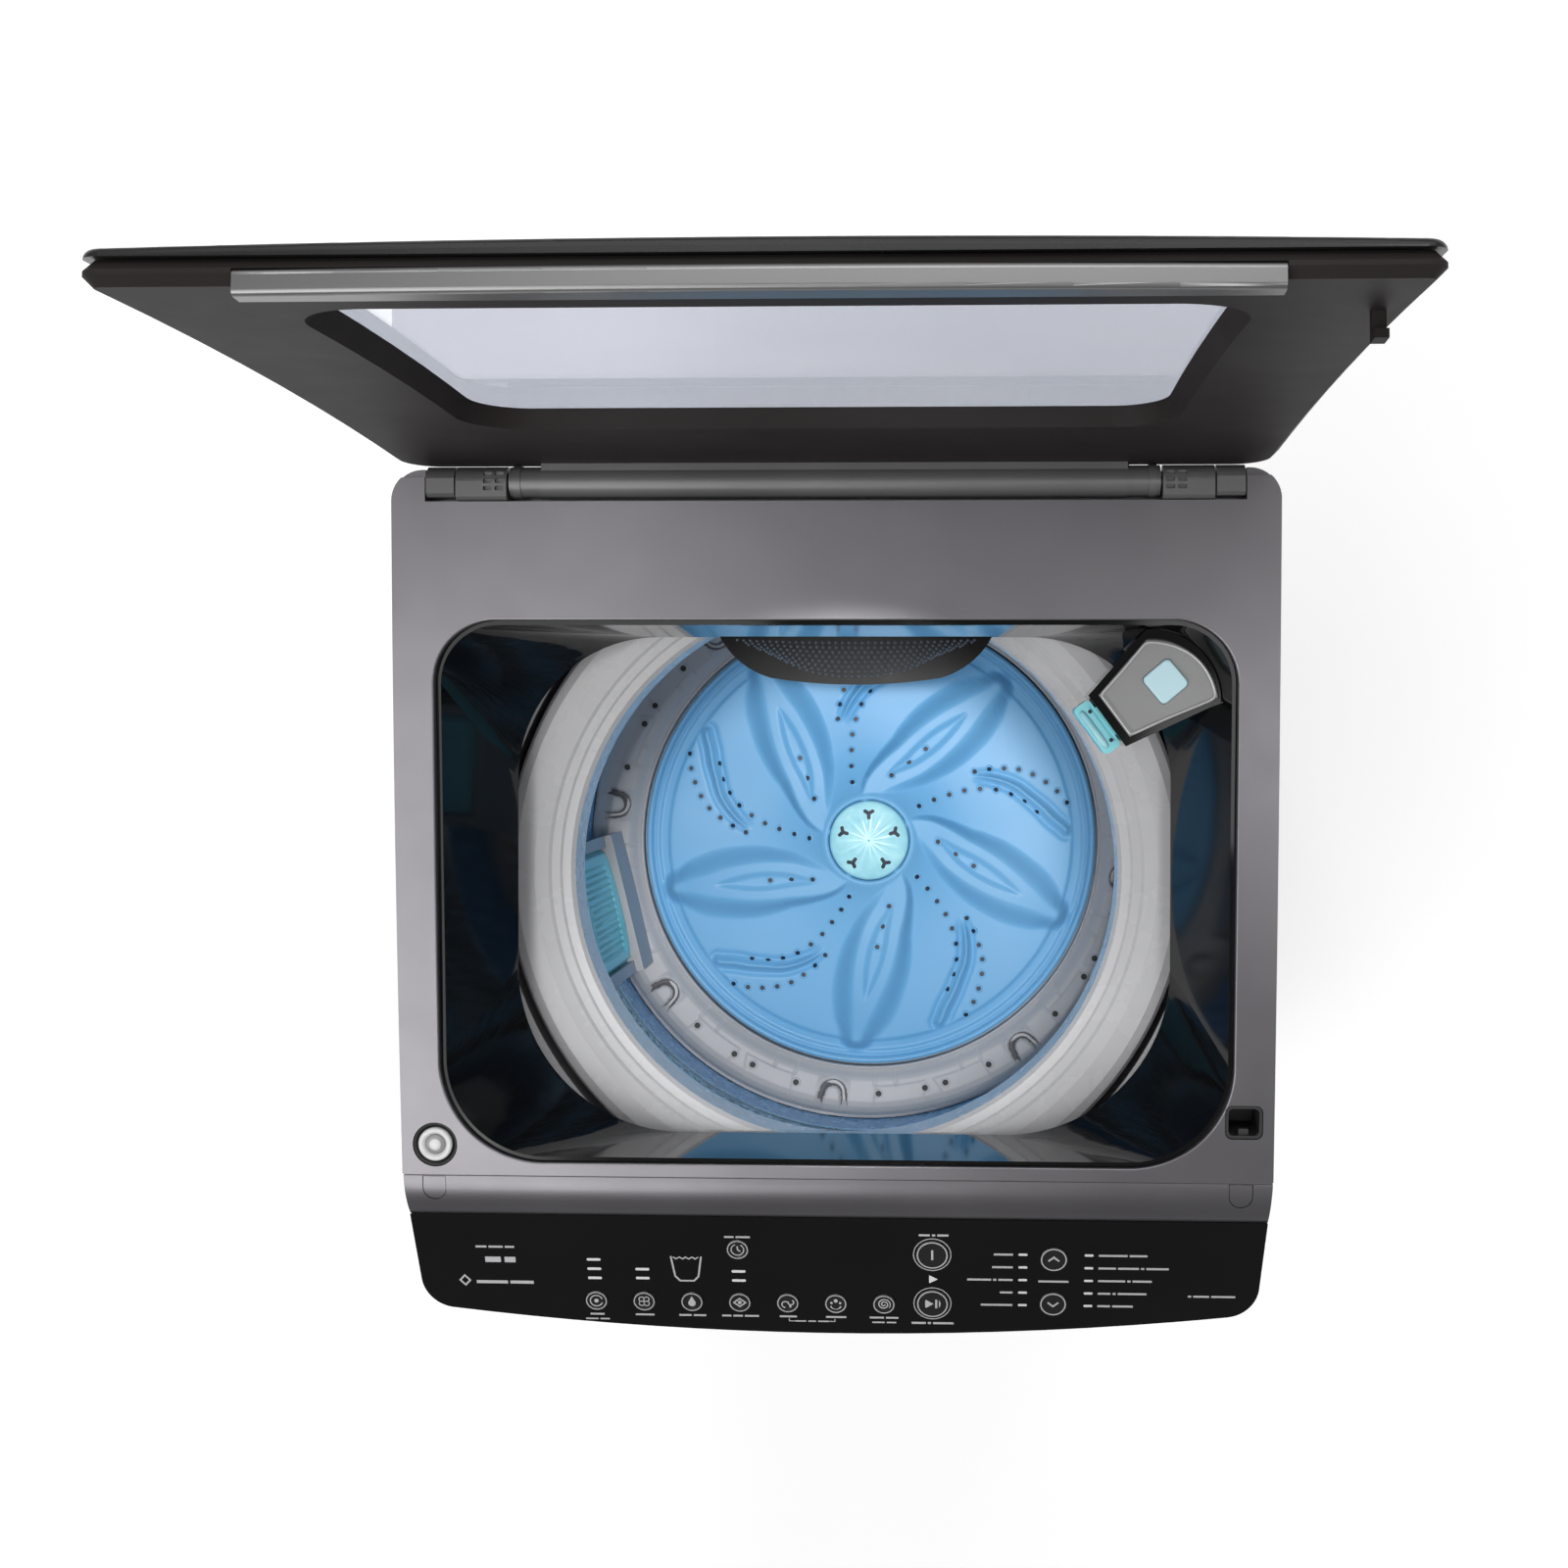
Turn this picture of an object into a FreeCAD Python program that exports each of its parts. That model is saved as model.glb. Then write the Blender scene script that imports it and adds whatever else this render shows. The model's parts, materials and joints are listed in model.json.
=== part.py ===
"""Top load washing machine, modelled as it comes apart on a bench.

Row frame: +Z up, front of the machine towards -Y, origin on the floor under the middle of the
machine's overall box with its lid open. Every piece is one node, written to parts/NODE.step.
"""

import FreeCAD
import Part
import math
import os

from FreeCAD import Placement, Rotation, Vector

# ---- driving dimensions, in millimetres -------------------------------------------------
WIDTH = 540.0  # over the top cover
DECK_Z = 915.0  # deck height at its rear edge
AXIS_Y = 0.3  # tub axis, from the middle of the overall box
DECK_REAR = 253.7  # the rear edge of the deck, behind the tub axis
DECK_FRONT = -182.4  # the groove where the deck meets the front band
DECK_DROP = 21.8  # fall of the deck from its rear edge to the groove
DECK_CROWN = 4.15  # how far the middle of the deck stands above the chord of that fall
BAND_STEP = 2.2  # drop of the front band behind the groove
PANEL_TOP = -210.0  # where the control panel starts
PANEL_FRONT = -291.0  # the front of the control panel, at its middle
PANEL_TOP_DROP = 33.0  # depth of the panel's top edge below the rear of the deck
PANEL_FRONT_DROP = 62.0
COVER_BOTTOM = 838.0
WALL = 3.0  # moulded plastic wall
SHEET = 1.0  # cabinet steel
GAP = 0.4  # assembly gap between neighbours

OPEN_X = 245.3  # half width of the deck opening
OPEN_REAR = 162.4
OPEN_FRONT = -174.8
LOW_X = 213.5  # half width of the liner's lower opening
LOW_REAR = 155.0
LOW_FRONT = -170.0
LINER_DEPTH = 97.0

CAB_X = 266.4  # outside of the cabinet
CAB_FRONT = -270.0
CAB_REAR = 249.5
CAB_BOTTOM = 60.0
CAB_TOP = 852.0
FOOT_X = 225.0
FOOT_FRONT = -226.0
FOOT_REAR = 208.0

TUB_R = 240.0  # inside of the outer tub
TUB_BOTTOM = 400.0
TUB_TOP = 786.0
BASKET_R = 226.0
RING_IN_R = 182.0
RING_TOP = DECK_Z - 120.0
RING_DEPTH = 50.0
PULSATOR_R = 187.5
PULSATOR_Z = DECK_Z - 460.0  # rim of the pulsator's top face

HINGE_Y = 246.3
HINGE_Z = DECK_Z - 9.0
BARREL_R = 10.0
LID_X = 266.5  # half width of the lid
LID_LEN = 455.0  # hinge axis to free edge
LID_START = -7.0
LID_BOW_R = 5778.0  # radius of the lid's gentle bow
LID_LEAN = 4.2  # degrees that the open lid leans back
LID_FACE = 10.5  # inner face, behind the hinge axis

MOTOR_X, MOTOR_Y = 128.0, -62.0
PULLEY_Z = 226.0
DRIVE_PULLEY_R = 62.0
MOTOR_PULLEY_R = 21.0

BUTTONS = {
    # name: (x, distance down the panel slope, radius)
    **{f"button_option_{i + 1}": (-154.0 + 30.6 * i, 63.2, 7.4) for i in range(7)},
    "button_delay": (-62.2, 23.6, 7.4),
    "button_power": (60.4, 25.9, 10.4),
    "button_start": (60.4, 62.3, 10.4),
    "button_program_up": (136.6, 28.1, 8.8),
    "button_program_down": (136.6, 61.3, 8.8),
}
BUTTON_PROUD = 0.8
FASCIA = 3.0

X, Y, Z = Vector(1, 0, 0), Vector(0, 1, 0), Vector(0, 0, 1)
parts = {}


# ---- small helpers ----------------------------------------------------------------------
def box(x0, x1, y0, y1, z0, z1):
    """A block between two corners; y is measured from the tub axis."""
    return Part.makeBox(x1 - x0, y1 - y0, z1 - z0, Vector(x0, y0, z0))


def rod(r, x, y, z0, z1):
    return Part.makeCylinder(r, z1 - z0, Vector(x, y, z0), Z)


def ring(r_in, r_out, x, y, z0, z1):
    return rod(r_out, x, y, z0, z1).cut(rod(r_in, x, y, z0 - 1, z1 + 1))


def fuse(shapes):
    shapes = list(shapes)
    whole = shapes[0].multiFuse(shapes[1:]) if len(shapes) > 1 else shapes[0]
    return whole.removeSplitter()


def group(shapes):
    """Separate solids that share one node."""
    return Part.makeCompound([s for shape in shapes for s in shape.Solids])


def polygon(points):
    return Part.makePolygon([Vector(*p) for p in points] + [Vector(*points[0])])


def revolve(profile):
    """A closed (radius, z) outline turned about the tub axis."""
    face = Part.Face(polygon([(r, 0, z) for r, z in profile]))
    return face.revolve(Vector(0, 0, 0), Z, 360)


def rounded_rect(x0, x1, y0, y1, radii, z=0.0):
    """A wire with corner radii in the order front left, front right, rear right, rear left."""
    fl, fr, rr, rl = radii
    k = 1 - math.sqrt(0.5)

    def p(x, y):
        return Vector(x, y, z)

    def line(a, b):
        return Part.LineSegment(a, b).toShape()

    def arc(a, m, b):
        return Part.Arc(a, m, b).toShape()

    return Part.Wire(
        [
            line(p(x0 + fl, y0), p(x1 - fr, y0)),
            arc(p(x1 - fr, y0), p(x1 - k * fr, y0 + k * fr), p(x1, y0 + fr)),
            line(p(x1, y0 + fr), p(x1, y1 - rr)),
            arc(p(x1, y1 - rr), p(x1 - k * rr, y1 - k * rr), p(x1 - rr, y1)),
            line(p(x1 - rr, y1), p(x0 + rl, y1)),
            arc(p(x0 + rl, y1), p(x0 + k * rl, y1 - k * rl), p(x0, y1 - rl)),
            line(p(x0, y1 - rl), p(x0, y0 + fl)),
            arc(p(x0, y0 + fl), p(x0 + k * fl, y0 + k * fl), p(x0 + fl, y0)),
        ]
    )


def prism(wire, height):
    return Part.Face(wire).extrude(Vector(0, 0, height))


def rounded_block(x0, x1, y0, y1, z0, z1, r):
    return prism(rounded_rect(x0, x1, y0, y1, (r,) * 4, z0), z1 - z0)


def loft(wires):
    return Part.makeLoft(wires, True, True)


def fillet(shape, radius, keep):
    """Rounds the edges that keep(edge) picks, or leaves the shape as it is if they can't be."""
    edges = [e for e in shape.Edges if keep(e)]
    try:
        done = shape.makeFillet(radius, edges)
    except Exception:
        return shape
    return done if done.isValid() and done.Volume > 0 else shape


def deck_z(y):
    """Height of the crowned deck over a place y behind the tub axis."""
    t = (DECK_REAR - y) / (DECK_REAR - DECK_FRONT)
    return DECK_Z - DECK_DROP * t + 4 * DECK_CROWN * t * (1 - t)


def deck_tilt(y):
    """Slope of the deck there, in degrees."""
    return math.degrees(math.atan2(deck_z(y + 1) - deck_z(y - 1), 2))


CHORD_TILT = math.degrees(math.atan2(DECK_DROP, DECK_REAR - DECK_FRONT))
PANEL_TILT = math.degrees(
    math.atan2(PANEL_FRONT_DROP - PANEL_TOP_DROP, PANEL_TOP - PANEL_FRONT)
)


def on_deck(shape, x, y):
    """Stands a shape made at the origin on the sloping deck at (x, y)."""
    return shape.transformed(
        Placement(Vector(x, y, deck_z(y)), Rotation(X, deck_tilt(y))).toMatrix()
    )


def on_panel(shape, x, slope):
    """Stands a shape made at the origin on the panel face, slope millimetres down from its top."""
    t = math.radians(PANEL_TILT)
    at = Vector(
        x,
        PANEL_TOP - slope * math.cos(t),
        DECK_Z - PANEL_TOP_DROP - slope * math.sin(t),
    )
    return shape.transformed(Placement(at, Rotation(X, PANEL_TILT)).toMatrix())


def on_lid(shape):
    """Carries a shape from the lid's own frame to the open lid. In it y runs from hinge to
    free edge, z out through the outer face, and x to the machine's left."""
    turn = Rotation(X, -90 - LID_LEAN).multiply(Rotation(Z, 180))
    return shape.transformed(Placement(Vector(0, HINGE_Y, HINGE_Z), turn).toMatrix())


# ---- cabinet ----------------------------------------------------------------------------
def cabinet_shell():
    """Folded steel wrap: front and two sides, with returns behind for the rear panel."""
    r = 16.0
    outer = rounded_rect(-CAB_X, CAB_X, CAB_FRONT, CAB_REAR, (r, r, 4, 4), CAB_BOTTOM)
    inner = rounded_rect(
        -CAB_X + SHEET,
        CAB_X - SHEET,
        CAB_FRONT + SHEET,
        CAB_REAR - SHEET,
        (r - SHEET, r - SHEET, 3, 3),
        CAB_BOTTOM,
    )
    height = CAB_TOP - CAB_BOTTOM
    wrap = prism(outer, height).cut(prism(inner, height))
    rear_hole = box(-240, 240, CAB_REAR - 5, CAB_REAR + 1, CAB_BOTTOM - 1, CAB_TOP + 1)
    wrap = wrap.cut(rear_hole)
    return wrap.cut(outside_cover())


def outside_cover():
    """What lies beyond the inside of the top cover's walls, where the wrap tucks in."""
    z = COVER_BOTTOM - GAP
    tucked = prism(plan_outline(WALL + GAP, z - 1), 40)
    return box(-300, 300, -300, 300, z, CAB_TOP + 1).cut(tucked)


def rear_panel():
    """Steel back with pressed ribs, behind the returns of the wrap."""
    y0 = CAB_REAR + GAP
    plate = rounded_block(-250, 250, 0, 760, 0, SHEET, 8)
    stand = Placement(Vector(0, y0 + SHEET, CAB_BOTTOM + 8), Rotation(X, 90)).toMatrix()
    plate = plate.transformed(stand)
    ribs = [
        box(-190, 190, y0 + SHEET, y0 + SHEET + 1.6, z, z + 26)
        for z in (250.0, 400.0, 550.0)
    ]
    plate = fuse([plate] + ribs)
    for x in (-243.0, 243.0):
        for z in (110.0, 450.0, 800.0):
            plate = plate.cut(Part.makeCylinder(2.4, 10, Vector(x, y0 - 3, z), Y))
    plate = plate.cut(Part.makeCylinder(9.2, 12, Vector(-205, y0 - 4, 690), Y))
    return plate.cut(Part.makeCylinder(15.4, 12, Vector(205, y0 - 4, 120), Y))


def base_frame():
    """Moulded base ring with a stiffening ledge and a boss over each foot."""
    z0, z1 = 24.0, CAB_BOTTOM + 12
    x, yf, yr = CAB_X - SHEET - GAP, CAB_FRONT + SHEET + GAP, CAB_REAR - SHEET - GAP
    outer = prism(rounded_rect(-x, x, yf, yr, (15,) * 4, z0), z1 - z0)
    inner = prism(
        rounded_rect(-x + 4, x - 4, yf + 4, yr - 4, (11,) * 4, z0 + 6), z1 - z0
    )
    floor = prism(
        rounded_rect(-x + 60, x - 60, yf + 60, yr - 60, (30,) * 4, z0 - 1), 12
    )
    body = outer.cut(inner).cut(floor)
    lip = prism(
        rounded_rect(-CAB_X, CAB_X, CAB_FRONT, CAB_REAR, (16,) * 4, z0),
        CAB_BOTTOM - GAP - z0,
    ).cut(prism(rounded_rect(-x + 2, x - 2, yf + 2, yr - 2, (13,) * 4, z0 - 1), 60))
    bosses = [rod(17, fx, fy, z0, z1 - 2) for fx, fy in foot_places()]
    body = fuse([body, lip] + bosses)
    for fx, fy in foot_places():
        body = body.cut(rod(4.6, fx, fy, z0 - 1, z1 + 1))
    return body


def foot_places():
    return [(sx * FOOT_X, fy) for fy in (FOOT_FRONT, FOOT_REAR) for sx in (-1, 1)]


def foot(x, y):
    """Rubber-shod pad, lock nut and threaded stud."""
    pad = rod(19, x, y, 0, 12)
    pad = fillet(pad, 2.0, lambda e: e.BoundBox.ZMax < 0.1)
    nut = Part.Face(
        polygon(
            [
                (x + 8 * math.cos(a * math.pi / 3), y + 8 * math.sin(a * math.pi / 3), 12)
                for a in range(6)
            ]
        )
    ).extrude(Vector(0, 0, 6))
    return fuse([pad, nut, rod(4.0, x, y, 12, 64)])


# ---- top cover --------------------------------------------------------------------------
def plan_outline(inset, z):
    """The cover's outline from above, inset all round."""
    x = WIDTH / 2 - inset
    rear = DECK_REAR - inset
    front = PANEL_FRONT + inset
    rear_r, side_y = 19.0 - inset, -186.0
    xc, yc = 265.5 - inset, -256.0
    xk, yk = 246.0 - inset * 0.8, -276.0 + inset
    k = 1 - math.sqrt(0.5)

    def p(a, b):
        return Vector(a, b, z)

    edges = []
    chain = [
        ("l", p(-x + rear_r, rear), p(x - rear_r, rear)),
        ("a", p(x - rear_r, rear), p(x - k * rear_r, rear - k * rear_r), p(x, rear - rear_r)),
        ("l", p(x, rear - rear_r), p(x, side_y)),
        ("l", p(x, side_y), p(xc, yc)),
        ("a", p(xc, yc), p(xc - 5.2, yc - 12.6 + inset * 0.6), p(xk, yk)),
        ("a", p(xk, yk), p(0, front), p(-xk, yk)),
        ("a", p(-xk, yk), p(-xc + 5.2, yc - 12.6 + inset * 0.6), p(-xc, yc)),
        ("l", p(-xc, yc), p(-x, side_y)),
        ("l", p(-x, side_y), p(-x, rear - rear_r)),
        ("a", p(-x, rear - rear_r), p(-x + k * rear_r, rear - k * rear_r), p(-x + rear_r, rear)),
    ]
    for kind, *pts in chain:
        curve = Part.LineSegment(*pts) if kind == "l" else Part.Arc(*pts)
        edges.append(curve.toShape())
    return Part.Wire(edges)


def side_profile(lower):
    """The cover's side view as a slab across the machine, its top lowered by lower."""
    t = math.radians(PANEL_TILT)
    front_z = DECK_Z - PANEL_FRONT_DROP - FASCIA / math.cos(t) - lower
    top_z = DECK_Z - PANEL_TOP_DROP - FASCIA / math.cos(t) - lower
    front_y, back_y = PANEL_FRONT - 5, DECK_REAR + 5
    slope = math.tan(t)
    step = deck_z(DECK_FRONT) - BAND_STEP - lower
    deck = Part.Arc(
        Vector(0, back_y, deck_z(back_y) - lower),
        Vector(0, (DECK_REAR + DECK_FRONT) / 2, DECK_Z - DECK_DROP / 2 + DECK_CROWN - lower),
        Vector(0, DECK_FRONT, deck_z(DECK_FRONT) - lower),
    )
    band = Part.Arc(
        Vector(0, DECK_FRONT, step),
        Vector(0, PANEL_TOP + 10, step - 3.6),
        Vector(0, PANEL_TOP + GAP, step - 10.0),
    )
    pts = [
        Vector(0, PANEL_TOP + GAP, step - 10.0),
        Vector(0, PANEL_TOP + GAP, top_z + GAP * math.tan(t)),
        Vector(0, front_y, front_z - 5 * math.tan(t)),
        Vector(0, front_y, COVER_BOTTOM - 20),
        Vector(0, back_y, COVER_BOTTOM - 20),
        Vector(0, back_y, deck_z(back_y) - lower),
    ]
    edges = [Part.LineSegment(a, b).toShape() for a, b in zip(pts, pts[1:])]
    riser = Part.LineSegment(Vector(0, DECK_FRONT, deck_z(DECK_FRONT) - lower), Vector(0, DECK_FRONT, step))
    wire = Part.Wire(edges + [deck.toShape(), riser.toShape(), band.toShape()])
    face = Part.Face(wire)
    face.translate(Vector(-WIDTH, 0, 0))
    return face.extrude(Vector(2 * WIDTH, 0, 0))


def opening_wire(grow, z=0.0):
    """The deck opening, in the deck's own plane and centred on the tub axis."""
    front, rear = 64.0 + grow, 39.0 + grow
    return rounded_rect(
        -OPEN_X - grow,
        OPEN_X + grow,
        OPEN_FRONT - grow,
        OPEN_REAR + grow,
        (front, front, rear, rear),
        z,
    )


def deck_plane(shape):
    """Tilts a shape drawn level at z 0 over the tub axis into the plane of the deck's chord."""
    z = DECK_Z - DECK_REAR * math.tan(math.radians(CHORD_TILT))
    return shape.transformed(Placement(Vector(0, 0, z), Rotation(X, CHORD_TILT)).toMatrix())


def top_cover():
    """Moulded top: sloping deck with the wash opening, hinge trough and front band."""
    height = DECK_Z + 20 - COVER_BOTTOM
    outer = prism(plan_outline(0, COVER_BOTTOM), height).common(side_profile(0))
    inner = prism(plan_outline(WALL, COVER_BOTTOM - 5), height).common(
        side_profile(WALL)
    )
    lip = box(-300, 300, -400, CAB_FRONT - GAP, COVER_BOTTOM - 20, COVER_BOTTOM + 3)
    trough = box(-249.2, 249.2, HINGE_Y - 12.2, 300, HINGE_Z - 11.5, DECK_Z + 30)
    trough_floor = box(-252, 252, HINGE_Y - 15.0, 260, HINGE_Z - 14.0, DECK_Z + 30).common(outer)
    outer = outer.cut(trough)
    inner = inner.cut(trough_floor)
    body = outer.cut(inner.cut(lip))
    body = fillet(body, 5.0, is_deck_rim)
    lip = prism(opening_wire(2.2, -5), 30).cut(prism(opening_wire(-GAP, -6), 40))
    body = body.cut(deck_plane(prism(opening_wire(-GAP, -40), 80)))
    body = fuse([body, deck_plane(lip).common(side_profile(0))])
    body = fillet(body, 1.2, is_opening_rim)
    body = body.cut(groove_cut())
    for x in (-1, 1):
        body = body.cut(screw_cover_shape(x, GAP))
    body = body.cut(level_pocket()).cut(lock_pocket(0.0))
    body = body.cut(valve_ports(GAP))
    return body.cut(heel_room(-1)).cut(heel_room(1))


def heel_room(side):
    """Relief in the rear rim past each end of the trough, where the lid's heel swings."""
    x0 = min(side * 248.0, side * 264.0)
    swing = Part.makeCylinder(12.6, 16.0, Vector(x0, HINGE_Y, HINGE_Z), X)
    return swing.common(box(x0, x0 + 16.0, HINGE_Y + 2.5, HINGE_Y + 20, HINGE_Z + 6.4, 1000))


def is_deck_rim(edge):
    """The outer rim of the deck, left, right and at the rear corners."""
    b = edge.BoundBox
    mid_y = (b.YMin + b.YMax) / 2
    on_side = min(abs(b.XMin), abs(b.XMax)) > WIDTH / 2 - 20 and b.XLength < 20
    top = b.ZMin > deck_z(DECK_FRONT) - 0.3 and b.ZMax < DECK_Z + 2
    return on_side and top and mid_y > DECK_FRONT and b.YLength > 15


def is_opening_rim(edge):
    """The upper edge of the lip round the wash opening."""
    b = edge.BoundBox
    on_top = abs(b.ZMax - deck_z(b.YMax)) < 0.6
    inside = max(abs(b.XMin), abs(b.XMax)) < OPEN_X and b.YMin > OPEN_FRONT and b.YMax < OPEN_REAR
    return on_top and inside and (b.YLength > 1 or b.XLength > 100)


def groove_cut():
    y = DECK_FRONT
    return box(-300, 300, y - 1.4, y, deck_z(y) - BAND_STEP - 1.0, deck_z(y) + 5)


def screw_cover_shape(side, grow):
    """U-shaped plug at each end of the front band."""
    x, half = side * 250.6, 7.0 + grow
    y0, y1 = -199.0, DECK_FRONT - 1.4 - 0.6
    tongue = fuse(
        [
            box(x - half, x + half, y0 + 7, y1 + grow, 0, 60),
            rod(half, x, y0 + 7, 0, 60),
        ]
    )
    tongue.translate(Vector(0, 0, DECK_Z - 55))
    top = side_profile(0.5)
    low = side_profile(0.5 + 4.0 + grow)
    return tongue.common(top).cut(low) if grow == 0 else tongue.cut(low)


def level_pocket():
    return on_deck(rod(14.0, 0, 0, -9, 5), -249.0, -163.6)


def lock_pocket(grow):
    pocket = rounded_block(-11.6, 11.6, -10.6, 10.6, -60, 8, 4.5)
    return on_deck(pocket, 251.5, -144.8)


def opening_liner():
    """Glossy funnel from the deck opening down to the mouth of the tub."""
    z_low = DECK_Z - LINER_DEPTH
    t = 2.4

    def low(grow, z):
        f, r = 108.0 + grow, 93.0 + grow
        return rounded_rect(
            -LOW_X - grow, LOW_X + grow, LOW_FRONT - grow, LOW_REAR + grow, (f, f, r, r), z
        )

    def high(grow, drop):
        return deck_plane(opening_wire(-GAP * 2 - t + grow, -drop))

    skin_out = loft([high(t, 3.0), low(t, z_low)])
    skin_in = loft([high(0, 2.6), low(0, z_low - 0.4)])
    flange = deck_plane(
        prism(opening_wire(9.0, -3 - WALL - 0.2 - 2.4), 2.4).cut(
            prism(opening_wire(-GAP * 2 - 1.2, -12), 20)
        )
    )
    flange = flange.cut(box(230, 300, -300, -120, 800, 1000))
    flange = flange.cut(box(-300, -234, -300, -140, 800, 1000))
    rim = prism(low(6.0, z_low), 2.4).cut(prism(low(1.2, z_low - 1), 5))
    body = fuse([skin_out.cut(skin_in), flange, rim])
    body = body.cut(loft([high(0, 2.6), low(0, z_low - 0.4)]))
    return body.cut(lock_pocket(0)).cut(dispenser_block(0.4))


# ---- control panel ----------------------------------------------------------------------
def fascia_slab(top, bottom):
    """The sloping slab between two depths below the panel's face."""
    t = math.radians(PANEL_TILT)
    slab = box(-300, 300, -130, 0, -bottom, -top)
    return on_panel(slab, 0, 0)


def control_fascia():
    outline = prism(plan_outline(0.0, 780), 200)
    body = fascia_slab(0, FASCIA - 0.1).common(outline)
    body = body.cut(box(-300, 300, PANEL_TOP - GAP, 300, 700, 1000))
    for x, slope, r in BUTTONS.values():
        body = body.cut(on_panel(rod(r + 0.3, 0, 0, -10, 10), x, slope))
    for shape in lens_shapes(0.1):
        body = body.cut(shape)
    return body


def lens_shapes(grow):
    """Program lights in two columns, level lights over the keys, and the start arrow."""
    deep = FASCIA - 0.4
    places = []
    for x in (117.3, 158.6):
        places += [(x, 25.1 + 9.4 * i, 2.8, 0.8) for i in range(5)]
    places += [(-154.0, 32.6 + 6.9 * i, 4.4, 0.9) for i in range(3)]
    places += [(-123.4, 39.4 + 6.7 * i, 4.4, 0.9) for i in range(2)]
    places += [(-62.2, 40.2 + 6.8 * i, 4.4, 0.9) for i in range(2)]
    made = []
    for x, slope, hx, hy in places:
        hx, hy = hx + grow, hy + grow
        lens = rounded_block(-hx, hx, -hy, hy, -deep, 0.05, hy * 0.85)
        made.append(on_panel(lens, x, slope))
    arrow = Part.Face(
        polygon([(-2 - grow, -3 - grow, -deep), (3.4 + grow, 0, -deep), (-2 - grow, 3 + grow, -deep)])
    ).extrude(Vector(0, 0, deep + 0.05))
    made.append(on_panel(arrow, 60.4, 44.2))
    return made


def button(x, slope, r):
    """A round key: cap through the fascia and a stem towards its switch."""
    cap = rod(r, 0, 0, -FASCIA + 0.2, BUTTON_PROUD)
    cap = fillet(cap, 0.5, lambda e: e.BoundBox.ZMin > BUTTON_PROUD - 0.01)
    dish = Part.makeSphere(r * 6, Vector(0, 0, BUTTON_PROUD + r * 6 - 0.35))
    stem = rod(2.2, 0, 0, -15.2, -FASCIA + 0.2)
    return on_panel(fuse([cap.cut(dish), stem]), x, slope)


def control_board():
    """Circuit board on posts under the keys, with one switch under each key."""
    board = rounded_block(-190, 190, -68, -16, -20.5, -18.9, 3)
    made = [on_panel(board, 0, 0)]
    for x, slope, r in BUTTONS.values():
        made.append(on_panel(rounded_block(-3, 3, -3, 3, -18.9, -16.6, 0.8), x, slope))
    made.append(on_panel(box(-150, -110, -50, -25, -30, -20.5), 0, 0))
    made.append(on_panel(rod(8, 30, -45, -32, -20.5), 0, 0))
    made.append(on_panel(box(90, 150, -60, -30, -36, -20.5), 0, 0))
    return fuse(made)


def button_wells():
    """Room in the cover's sloping face for the key stems."""
    wells = []
    for x, slope, r in BUTTONS.values():
        wells.append(on_panel(rod(r + 0.5, 0, 0, -4.4, 2), x, slope))
        wells.append(on_panel(rod(3.2, 0, 0, -12, 2), x, slope))
    return wells


# ---- lid lock, level, hinge -------------------------------------------------------------
def level_indicator():
    """Bull's-eye level: dark cup and white bezel round a domed glass."""
    cup = ring(10.6, 13.7, 0, 0, -8.6, -0.6)
    cup = fuse([cup, rod(13.7, 0, 0, -8.6, -6.6)])
    return on_deck(cup, -249.0, -163.6)


def level_lens():
    body = rod(10.2, 0, 0, -6.3, -0.4)
    dome = Part.makeSphere(24, Vector(0, 0, 0.9 - 24))
    body = fuse([body, dome.common(rod(7.2, 0, 0, -0.6, 3))])
    return on_deck(body, -249.0, -163.6)


def lid_lock_housing():
    """Lock case under the right of the deck, open at the top for the lid's hook."""
    case = rounded_block(-11.2, 11.2, -10.2, 10.2, -52, -1.0, 4.2)
    case = case.cut(rounded_block(-9.4, 9.4, -8.4, 8.4, -34, 5, 3))
    case = case.cut(box(-3.4, 3.4, -20, -5, -6.6, -2.7))
    return on_deck(case, 251.5, -144.8)


def lid_lock_bolt():
    """Bolt that slides back under the lid's hook when the drum spins."""
    bolt = rounded_block(-3, 3, -12.6, -4.6, -6.1, -3.1, 0.8)
    return on_deck(bolt, 251.5, -144.8)


def hinge_body(x0, x1, front, top):
    """A block round the hinge axis: square in front, rounded where the lid swings past."""
    half = box(x0, x1, HINGE_Y - front, HINGE_Y, HINGE_Z - 9.6, HINGE_Z + top)
    half = half.makeChamfer(2.2, [e for e in half.Edges if is_front_top(e, top)])
    round_ = Part.makeCylinder(9.6, x1 - x0, Vector(x0, HINGE_Y, HINGE_Z), X)
    return fuse([half, round_.common(box(x0, x1, HINGE_Y - 5, HINGE_Y + 10, 0, HINGE_Z + top))])


def is_front_top(edge, top):
    b = edge.BoundBox
    return b.ZMin > HINGE_Z + top - 0.1 and b.YMax < HINGE_Y - 1


def hinge_blocks():
    """A bearing bracket and a soft-close damper box at each end of the hinge, with its pin."""
    made = []
    for s in (-1, 1):

        def span(a, b):
            return (min(s * a, s * b), max(s * a, s * b))

        made.append(hinge_body(*span(231.2, 248.4), 9.4, 9.4))
        damper = hinge_body(*span(199.0, 230.2), 11.4, 9.6)
        for i in range(2):
            for k in range(3):
                cx = s * (203.4 + 7.2 * i)
                cy = HINGE_Y + 4.6 - 4.4 * k
                slot = rounded_block(
                    cx - 2.7, cx + 2.7, cy - 1.3, cy + 1.3, HINGE_Z + 6.6, HINGE_Z + 12, 0.9
                )
                damper = damper.cut(slot)
        px = span(187.0, 200.0)
        pin = Part.makeCylinder(4.0, px[1] - px[0], Vector(px[0], HINGE_Y, HINGE_Z), X)
        made.append(fuse([damper, pin]))
    return group(made)


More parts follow.
